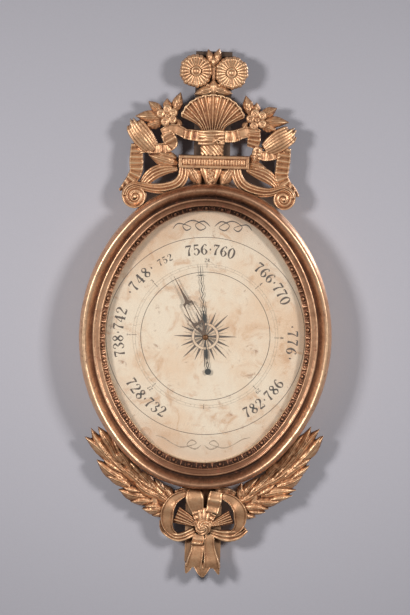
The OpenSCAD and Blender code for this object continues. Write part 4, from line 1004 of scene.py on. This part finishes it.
def spiral(c, r, start, turn, w, h):
    """Control points of a scroll that winds in evenly."""
    out = []
    for s in np.linspace(0, 1, 49):
        a = math.radians(start + turn * s)
        rs = r * (1 - 0.86 * s)
        out.append([c[0] + rs * math.cos(a), c[1] + rs * math.sin(a), w * (1 - 0.42 * s), h * (1 + 0.14 * s)])
    return out


def c_scroll(shell, arm, c, r, start, turn):
    """Arm that runs into a scroll, with a round ground and an eye in its middle."""
    strip(shell, arm + spiral(c, r, start, turn, 11, 18)[:6], ribbed(3, 0.22), 6)
    strip(shell, spiral(c, r, start, turn, 10.5, 17.5), ribbed(1, 0.3, 0.5), 3)
    turned(shell, c, [(r, 0), (r, 8), (r * 0.94, 10), (4, 11), (0.5, 11)])
    turned(shell, c, [(3.4, 0), (3.4, 17), (2.4, 19), (0.5, 19.6)], 24)


POD_RIBS = 7


def wing(name, node, pod, ribbons, straps, arm, c, r, start, turn, leaves, boss):
    """Crest wing: a pod of long ribs, ribbons, a strap, a scroll, leaves and the ground of its blossom."""
    shell = Shell(FRAME_TOP)
    path = spline(pod, 6)
    t = unit(np.gradient(path[:, :2], axis=0))
    side = np.stack([t[:, 1], -t[:, 0]], 1)
    strip(shell, [[x, y, w * 0.8, h * 0.6] for x, y, w, h in pod[1:]], dome, 6)
    for i in range(POD_RIBS):
        u = (i + 0.5) / POD_RIBS * 2 - 1
        first = round(1 + 6 * u * u + (2 if i % 2 else 0))
        wide = np.maximum(path[:, 2], 12) / POD_RIBS * 1.3
        tall = path[:, 3] * (1 - 0.22 * u * u)
        line = np.column_stack([path[:, :2] + side * (path[:, 2:3] * u * 0.46), wide, tall])[first:]
        line[0, 2:] *= 0.3, 0.6
        line[1, 2:] *= 0.7, 0.85
        strip(shell, line[::2], ribbed(1, 0.1, 0.4), 4, 13)
    for wave, line in ribbons:
        strip(shell, line, wave, 8)
    for line in straps:
        strip(shell, line, ribbed(4, 0.2, 0.55), 8, 27)
    c_scroll(shell, arm, c, r, start, turn)
    for *ends, w in leaves:
        leaf(shell, ends[:2], ends[2:], w, 16, vein=0.18, hollow=0.1)
    turned(shell, boss, [(13, 0), (13, 12), (11, 14), (0.5, 14)])
    carving(shell, name, node, voxel=0.8)


DEEP = band(0.13, 10.5, 0.06)
wing(
    "wing_left_carving", "crest_wing_left",
    [[-139, 113, 12, 11], [-134, 102, 32, 17], [-123, 86, 39, 21], [-109, 69, 34, 19], [-97, 56, 22, 13]],
    [(band(0.12, 11.0), [[-19, 84, 21, 12], [-31, 85, 20, 13], [-45, 87, 18, 15]]),
     (band(0.05, 30.0), [[-43, 87, 18, 14], [-57, 94, 18, 15], [-71, 95, 18, 14], [-86, 89, 11, 11]]),
     (band(0.1, 13.0, 0.12), [[-79, 89, 20, 12], [-72, 79, 25, 16], [-67, 69, 22, 15], [-70, 62, 12, 11]]),
     (band(0.1, 15.0, 0.12), [[-60, 71, 12, 11], [-70, 64, 17, 13], [-84, 61, 18, 14], [-100, 60, 18, 15],
                              [-114, 61, 19, 14], [-130, 57, 18, 12]]),
     (DEEP, [[-130, 68, 18, 12], [-129, 50, 23, 14], [-129, 34, 25, 15], [-129, 19, 23, 15],
             [-136, 5, 21, 14], [-147, -6, 13, 11], [-158, -16, 4, 8]])],
    [[[-56, 25, 9, 12], [-76, 24, 19, 14], [-94, 18, 23, 15], [-107, 8, 21, 14], [-117, -4, 14, 12]]],
    [[-44, 30, 18, 15], [-46, 11, 19, 18], [-57, -3, 20, 20], [-79, -10, 19, 19], [-102, -10, 16, 18]],
    (-130, -25), 20.5, 85, 860, [(-56, 34, -108, 48, 27), (-58, 44, -96, 54, 16), (-64, 124, -53, 160, 19),
     (-76, 128, -77, 149, 15), (-84, 122, -110, 143, 17), (-84, 116, -133, 116, 22),
     (-82, 110, -117, 97, 20), (-60, 112, -50, 96, 12)],
    (-76, 119))
wing(
    "wing_right_carving", "crest_wing_right",
    [[151, 101, 12, 11], [142, 92, 32, 17], [127, 82, 39, 21], [110, 70, 34, 19], [96, 61, 22, 13]],
    [(band(0.12, 11.0), [[26, 84, 22, 12], [38, 84, 22, 13], [50, 87, 21, 15]]),
     (band(0.05, 30.0), [[48, 87, 20, 14], [62, 92, 20, 15], [76, 94, 18, 14], [88, 91, 12, 11]]),
     (band(0.14, 8.0, 0.04), [[79, 97, 18, 12], [78, 86, 22, 15], [77, 76, 24, 15], [74, 65, 18, 12]]),
     (band(0.08, 12.0, 0.1, 2.0), [[88, 67, 12, 12], [84, 58, 18, 16], [83, 48, 16, 14], [84, 40, 7, 10]]),
     (band(0.1, 11.0), [[86, 53, 16, 13], [100, 51, 18, 15], [114, 54, 18, 14], [130, 61, 16, 12]]),
     (DEEP, [[134, 66, 18, 12], [131, 48, 24, 15], [129, 32, 25, 15], [128, 15, 24, 15], [135, 2, 20, 14],
             [147, -7, 13, 12], [159, -20, 4, 8]])],
    [[[66, 27, 9, 12], [82, 23, 20, 14], [98, 17, 24, 15], [111, 8, 20, 14], [121, -4, 12, 12]]],
    [[46, 30, 18, 15], [51, 10, 19, 18], [63, -4, 20, 20], [85, -12, 19, 19], [108, -13, 15, 18]],
    (132, -24), 18.5, 95, -860, [(72, 34, 88, 62, 18), (64, 36, 100, 30, 18), (70, 120, 61, 157, 20),
     (80, 124, 81, 145, 14), (88, 120, 117, 136, 19), (90, 112, 139, 111, 20), (88, 107, 118, 96, 19),
     (66, 110, 56, 96, 12)],
    (82, 116))


def blossom(name, node, c, angles):
    """Five round petals, at the given clock angles, round a button."""
    shell = Shell(FRAME_TOP)
    turned(shell, c, [(11, 0), (11, 15), (9, 18), (0.5, 18)], 40)
    for a in angles:
        at, r = polar(c, 11.8, a), 8.0
        turned(shell, at, [(r, 0), (r, 12), (r * 0.97, 16), (r * 0.84, 18.8), (r * 0.66, 19.6),
                           (r * 0.44, 19), (r * 0.22, 18.2), (0.2, 18)], 32)
        for s in (-1, 0, 1):
            tube(shell, [(*polar(c, 6, a + s * 6), BED + 17), (*polar(c, 14, a + s * 14), BED + 19)], 0.9, 8)
    turned(shell, c, [(4.4, 0), (4.4, 20.5), (3.7, 22.6), (2.6, 22.8), (1.8, 21.6),
                      (1.0, 21.6), (0.6, 22.6), (0.2, 22.8)], 32)
    carving(shell, name, node, voxel=0.6)


blossom("blossom_left_carving", "blossom_left", (-76, 119), [-75, 0, 63, 127, 198])
blossom("blossom_right_carving", "blossom_right", (82, 115), [-22, 50, 128, 206, 278])


def daisy(name, node, c, turn, count):
    """Narrow petals round a button, over a round ground."""
    shell = Shell(FRAME_TOP)
    r = 29.5
    turned(shell, c, [(r - 2.5, 0), (r - 2.5, 9), (r - 5, 12), (0.5, 11)])
    for k in range(count):
        a, long = turn + k * 360 / count, r + 0.8 * math.sin(k * 2.4) + 0.6 * math.sin(k * 5.1)
        strip(shell, [[*polar(c, 6, a), 2.2, 12.5], [*polar(c, 13, a), 4.4, 14.5],
                      [*polar(c, 20, a), 6.6, 16.5], [*polar(c, long - 4.5, a), 8.4, 17],
                      [*polar(c, long - 1.4, a), 7.2, 14], [*polar(c, long, a), 4.4, 9]],
              ribbed(1, 0.05, 0.56), 4, 13)
    tube(shell, [(*polar(c, 7.0, a), BED + 15.5) for a in np.linspace(0, 372, 40)], 1.7, 10)
    turned(shell, c, [(7, 0), (7, 14), (5.2, 15), (3.8, 17), (1.4, 18), (0.2, 18)], 32)
    carving(shell, name, node, voxel=0.6, marks=0.12, turns=1)


daisy("daisy_left_carving", "daisy_left", (-27, 198), 3, 23)
daisy("daisy_right_carving", "daisy_right", (35, 196), 10, 24)

# Leaves between the daisies
tuft = Shell(FRAME_TOP)
for base, tip, w, h in [([8, 168], [-30, 157], 21, 19), ([0, 169], [38, 159], 21, 19),
                        ([4, 154], [4, 186], 24, 18), ([1, 208], [-7, 237], 15, 15),
                        ([6, 208], [13, 238.5], 16, 15), ([3, 206], [3, 226], 13, 18)]:
    leaf(tuft, base, tip, w, h)
for s in (-1, 1):
    petal(tuft, [4, 168], [4 + s * 10, 172], 9, 15)
strip(tuft, [[4, 158, 14, 12], [4, 185, 8, 10], [4, 214, 14, 12]], ribbed(3), 6)
carving(tuft, "daisy_leaf_carving", "daisy_leaves", voxel=0.7)


def laurel(name, node, stem, root, leaves):
    """Branch of two layers of leaves, each second leaf with a smaller one over it."""
    shell = Shell(-FRAME_TOP)
    under = [[x, y, w * 2.1, h * 0.8] for x, y, w, h in stem]
    for line in (root, stem, under):
        strip(shell, line, dome, 6)
    for i, (*ends, w) in enumerate(leaves):
        base, tip = np.array(ends[:2], float), np.array(ends[2:], float)
        leaf(shell, base, tip, w * 1.22, 15.5 + 1.5 * (i % 3), bend=0.05 * (-1) ** i, edge=0.4, vein=0.2,
             hollow=0.08)
        if i % 2:
            side = np.array([tip[1] - base[1], base[0] - tip[0]]) * 0.13
            leaf(shell, base * 0.75 + tip * 0.25 + side, base * 0.12 + tip * 0.88 + side, w * 0.62, 18,
                 vein=0.2)
    carving(shell, name, node)


laurel(
    "laurel_left_carving", "laurel_left",
    [[-50, -32, 12, 12], [-84, -16, 12, 12], [-112, 4, 12, 12], [-138, 24, 12, 12], [-160, 46, 11, 12],
     [-178, 70, 9, 10]], [[-78, -56, 9, 10], [-81, -40, 13, 12], [-86, -14, 13, 12]],
    [(-160, 38, -211, 85, 18), (-136, 8, -189, 44, 20), (-128, -2, -172, 16, 18),
     (-100, -20, -149, -9, 20), (-88, -28, -127, -31, 16), (-66, -40, -106, -43, 18),
     (-56, -46, -88, -56, 14), (-158, 42, -200, 101, 18), (-152, 46, -188, 104, 17),
     (-130, 18, -176, 66, 20), (-104, -2, -152, 36, 20), (-76, -20, -124, 10, 20),
     (-56, -30, -96, -8, 18), (-145, 38, -172, 90, 15), (-124, 22, -162, 74, 15),
     (-104, 6, -140, 44, 16), (-84, -8, -120, 28, 16), (-62, -22, -92, 12, 15),
     (-52, -24, -70, 2, 14)])
laurel(
    "laurel_right_carving", "laurel_right",
    [[60, -30, 12, 12], [92, -12, 12, 12], [120, 10, 12, 12], [146, 32, 12, 12], [166, 54, 11, 12],
     [183, 80, 9, 10]],
    [[91, -52, 9, 10], [93, -38, 13, 12], [95, -12, 13, 12]],
    [(166, 46, 215, 97, 18), (142, 16, 193, 54, 20), (134, 4, 180, 24, 18),
     (106, -14, 169, -3, 20), (94, -24, 145, -22, 16), (74, -36, 121, -38, 18), (64, -42, 98, -54, 14),
     (164, 50, 208, 109, 18), (158, 54, 192, 113, 17), (138, 26, 184, 74, 20), (112, 6, 162, 44, 20),
     (84, -14, 134, 18, 20), (64, -26, 106, -2, 18), (150, 46, 180, 100, 15), (130, 30, 164, 80, 15),
     (112, 12, 148, 52, 16), (92, -4, 128, 36, 16), (72, -18, 100, 18, 15), (68, -22, 70, 8, 15)])

# Bow and drop are drawn a little short; STRETCH lengthens them downwards
STRETCH = np.array([1, 1.045, 1, 1])
LOOP, CURL, TAIL = band(0.05, 34.0, 0.2), band(0.08, 9.0), band(0.06, 14.0)
TAILS = [
    (band(0.03, 26.0, 0.1, 3.0, 0.14), [[-10, -77, 15, 14], [-28, -86, 15, 15], [-42, -89, 15, 14],
                                        [-57, -85, 11, 12], [-67, -78, 7, 10]]),
    (band(0.0, 26.0, 0.1), [[-62, -84, 8, 9], [-69, -74, 9, 10], [-71, -60, 7, 9]]),
    (band(0.04, 22.0, 0.1, 3.0, 0.14), [[17, -78, 12, 14], [34, -83, 17, 15], [50, -85, 21, 14],
                                        [66, -82, 18, 13], [81, -72, 13, 11]])]
BEHIND_CURLS = [
    (TAIL, [[-12, -8, 14, 12], [-30, -8, 13, 12], [-46, -14, 13, 11]]),
    (TAIL, [[25, -8, 14, 12], [44, -8, 14, 12], [60, -13, 12, 11]])]
LOOPS = [
    (LOOP, [[-26, -12, 10, 12], [-38, -15, 15, 15], [-51, -24, 19, 18], [-59, -38, 23, 20],
            [-61, -52, 24, 18], [-60, -66, 20, 15], [-54, -78, 14, 13], [-44, -85, 8, 11]]),
    (LOOP, [[34, -14, 10, 12], [44, -16, 15, 15], [57, -23, 19, 18], [68, -37, 24, 20], [70, -51, 24, 18],
            [69, -64, 19, 15], [62, -75, 12, 13], [52, -81, 8, 11]])]
PLEATS = [
    (ribbed(5, 0.3, 0.5), [[-6, -66, 9, 17], [-24, -58, 21, 14], [-45, -50, 31, 11]]),
    (ribbed(5, 0.3, 0.5), [[14, -66, 8, 17], [33, -60, 16, 14], [54, -52, 25, 11]])]
CURLS = [
    (ribbed(4, 0.12, 0.6), [[5, -60, 20, 17], [5, -52, 30, 17], [6, -42, 36, 15], [6, -36, 38, 13]]),
    (CURL, [[0, -62, 14, 16], [-5, -50, 18, 16], [-8, -40, 20, 16]]),
    (CURL, [[9, -62, 14, 16], [14, -52, 20, 16], [18, -44, 20, 16]]),
    (band(0.0, 40.0, 0.05), [[-6, -42, 22, 15], [-9, -32, 28, 19], [-12, -20, 33, 21], [-13, -10, 29, 17],
                             [-13, -4, 20, 12]]),
    (band(0.07, 20.0, 0.08, 0, 0, 1.2), [[19, -43, 23, 18], [22, -31, 25, 18], [24, -19, 26, 21],
                                         [26, -7, 23, 14]])]
bow = Shell(-FRAME_TOP)
for section, line in TAILS + BEHIND_CURLS + LOOPS + PLEATS + CURLS:
    strip(bow, np.array(line) * STRETCH, section, 8, 27)
carving(bow, "bow_carving", "bow", voxel=0.75)

# Spiral rosette in a round rim
ROSETTE_C, ROSETTE_R = (4, -72), 13.6
knot = Shell(-FRAME_TOP)
turned(knot, ROSETTE_C, [(ROSETTE_R - 1, 0), (ROSETTE_R - 1, 15), (ROSETTE_R - 2.5, 18.6), (5, 20.4),
                         (0.5, 20.6)])
for k in range(5):
    line = [(*polar(ROSETTE_C, 1.2 + (ROSETTE_R - 1.8) * t, k * 72 + 190 * t ** 0.8),
             BED + 21.4 - 4.4 * t * t)
            for t in np.linspace(0, 1, 15)]
    tube(knot, line, np.linspace(1.3, 2.1, 15), 12)
tube(knot, [(*polar(ROSETTE_C, ROSETTE_R - 1, a), BED + 16) for a in np.linspace(0, 372, 40)], 1.8, 10)
carving(knot, "rosette_carving", "rosette", voxel=0.6)

# Drop: two folds side by side, that end in three points, with a band across their top
FOLD, POINT = band(0.0, 40, 0.16), band(0.0, 40, 0.12)
FOLDS = [
    [[-4, -82, 21, 14], [-4, -91, 22, 19], [-5, -99, 22, 13], [-6, -112, 24, 16], [-9, -126, 28, 18],
     [-12, -140, 29, 15]],
    [[16, -82, 17, 14], [16, -92, 18, 16], [16, -104, 20, 15], [18, -118, 24, 16], [20, -130, 29, 18],
     [21, -141, 32, 15]]]
POINTS = [
    [[-19, -134, 16, 15], [-22, -143, 11, 14], [-25, -151, 3, 12]],
    [[28, -134, 17, 15], [31, -143, 10, 14], [34, -152, 3, 12]],
    [[-4, -134, 18, 15], [0, -146, 13, 16], [4, -157, 3, 13]],
    [[12, -134, 18, 15], [8, -146, 13, 16], [5, -157, 3, 13]]]
drop = Shell(-FRAME_TOP)
for section, lines in ((FOLD, FOLDS), (POINT, POINTS)):
    for line in lines:
        strip(drop, np.array(line) * STRETCH, section, 8, 27)
strip(drop, np.array([[-16, -97, 7, 16], [-10, -96, 9, 20], [-2, -97, 9, 20], [4, -98, 6, 16]]) * STRETCH,
      dome, 5)
carving(drop, "drop_carving", "drop", voxel=0.7)

# Threads and the mercury under the float, drawn between a fixed and a moving height

THREAD_R, PULLEY_R, BORE_R, TUBE_AXIS = 0.25, 5.7444, 3.0, 11.0


def stretcher(name, node, x, r, fixed, moving, look):
    """Upright bar between a fixed height and one that moves with a body."""
    shell = Shell()
    tube(shell, [(x, z, TUBE_AXIS) for z in np.linspace(moving, fixed, 25)], r, 20)
    ob = add_object(name, shell.mesh(name))
    ob.data.shade_smooth()
    ob.data.materials.append(look)
    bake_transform(ob)
    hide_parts(node)


stretcher("float_thread_silk", "float_thread", PULLEY_R, THREAD_R, -2.5, -306, silk)
stretcher("counter_thread_silk", "counter_thread", -PULLEY_R, THREAD_R, -2.5, -150,
          silk)
stretcher("short_limb_mercury", "mercury_short_limb", PULLEY_R, BORE_R, -380, -320,
          mercury)

# Materials of the CAD pieces, also of those that a drawn piece stands for

WEARS = {
    gilt_frame: ["frame_right", "frame_top", "frame_left", "frame_bottom"],
    gilt: CARVED,
    pine: ["tube_case", "upper_lid", "lower_lid", "tube_rests", "back_door"],
    board: ["dial_board"],
    paper: ["dial_paper"],
    card: ["glass_spacer"],
    iron: ["lid_screws", "hanging_plate", "hanging_screws", "turn_plates", "turn_screws", "frame_screws",
           "strap_screws"],
    brass: ["glass_bush", "arbor_bush", "arbor_cock", "cock_screws", "pulley", "tube_straps", "door_knuckles",
            "hinge_leaves", "hinge_pins"],
    hand_brass: ["set_hand", "set_knob"],
    blued: ["arbor", "steel_hand"],
    silk: ["thread_winding", "float_thread", "counter_thread"],
    window_glass: ["dial_glass"],
    tube_glass: ["siphon_tube"],
    mercury: ["mercury_column", "mercury_short_limb"],
    float_look: ["float", "counterweight"],
}
for look, names in WEARS.items():
    for n in names:
        nodes[n].data.materials.clear()
        nodes[n].data.materials.append(look)

# Camera: a little above the dial, looking down on it, with the lean of the photograph

TILT, LEAN = math.radians(6.3), math.radians(-1.35)
DISTANCE, PICTURE_H = 5.0, 1.0865
AIM = (-0.0018, -0.036, 0.0523)
SENSOR, SHIFT = 36.0, -0.1

lens = bpy.data.cameras.new("photo_camera")
lens.sensor_fit = "VERTICAL"
lens.sensor_height = SENSOR
lens.lens = SENSOR * DISTANCE / PICTURE_H
lens.clip_end = 100
lens.shift_y = SHIFT
camera = add_object("photo_camera", lens)
ahead = Vector((0, math.cos(TILT), -math.sin(TILT)))
lift = SHIFT * PICTURE_H
seen_at = Vector((AIM[0] - lift * math.sin(LEAN), AIM[1], AIM[2] - lift * math.cos(LEAN)))
camera.location = seen_at - ahead * DISTANCE
camera.rotation_mode = "QUATERNION"
camera.rotation_quaternion = Quaternion(ahead, LEAN) @ ahead.to_track_quat("-Z", "Y")
scene.camera = camera


# Wall, floor and lights

def stage_look(name, shade, floor=False):
    """Pale plaster of the wall or floor."""
    k = Look(name)
    n = k.noise(500, 4, 0.6)
    k.set(Base_Color=k.mix(k.math("MULTIPLY", n, 0.25), shade, colour(150, 148, 150)), Roughness=0.9)
    if not floor:
        k.bump(n, 0.0006, 0.3)
    return k


# Only the camera and glossy surfaces see the wall's front; light passes it to reach the back
WALL_Y, FLOOR_Z = 0.0025, -2.2
wall_look = stage_look("wall_plaster", colour(188, 187, 197))
rays = wall_look.node("ShaderNodeLightPath").outputs
seen = wall_look.math("MAXIMUM", rays["Is Camera Ray"], rays["Is Glossy Ray"])
behind = wall_look.node("ShaderNodeNewGeometry").outputs["Backfacing"]
swap = wall_look.node("ShaderNodeMixShader")
share = wall_look.math("SUBTRACT", seen, behind, clamp=True)
passing = wall_look.node("ShaderNodeBsdfTransparent").outputs[0]
for socket, value in zip(swap.inputs, (share, passing, wall_look.p.outputs[0])):
    wall_look.put(socket, value)
wall_look.put(wall_look.out.inputs[0], swap.outputs[0])
wall = mesh_object("wall", [(-3, WALL_Y, FLOOR_Z), (3, WALL_Y, FLOOR_Z), (3, WALL_Y, 2.4), (-3, WALL_Y, 2.4)],
                   [(0, 1, 2, 3)])
wall.data.materials.append(wall_look.m)
floor = mesh_object("floor", [(-4, -5, FLOOR_Z), (4, -5, FLOOR_Z), (4, 4, FLOOR_Z), (-4, 4, FLOOR_Z)],
                    [(0, 1, 2, 3)])
floor.data.materials.append(stage_look("floor_plaster", colour(205, 203, 205), True).m)

world = bpy.data.worlds.new("room")
scene.world = world
world.use_nodes = True
sky = world.node_tree.nodes["Background"]
sky.inputs["Color"].default_value = colour(205, 208, 216)
sky.inputs["Strength"].default_value = 0.1


WARM = (1.0, 0.975, 0.945)
LAMP_SPREAD = math.radians(95)
DIAL_LOW = (0, 0, -0.2)


def softbox(name, at, aim, size, power):
    """Square lamp of warm light, aimed at a point."""
    lamp = bpy.data.lights.new(name, "AREA")
    lamp.shape, lamp.size, lamp.size_y, lamp.energy, lamp.color = "RECTANGLE", size, size, power, WARM
    lamp.spread = LAMP_SPREAD
    ob = add_object(name, lamp)
    ob.location = at
    ob.rotation_euler = (Vector(aim) - Vector(at)).to_track_quat("-Z", "Y").to_euler()


softbox("light_left", (-1.42, -1.78, 0.62), DIAL_LOW, 0.46, 9.7)
softbox("light_right", (1.42, -1.78, 0.62), DIAL_LOW, 0.46, 8.7)
softbox("light_behind", (1.9, 1.9, 0.9), (0, 0, 0), 0.5, 7)
scene.view_settings.view_transform = "Standard"
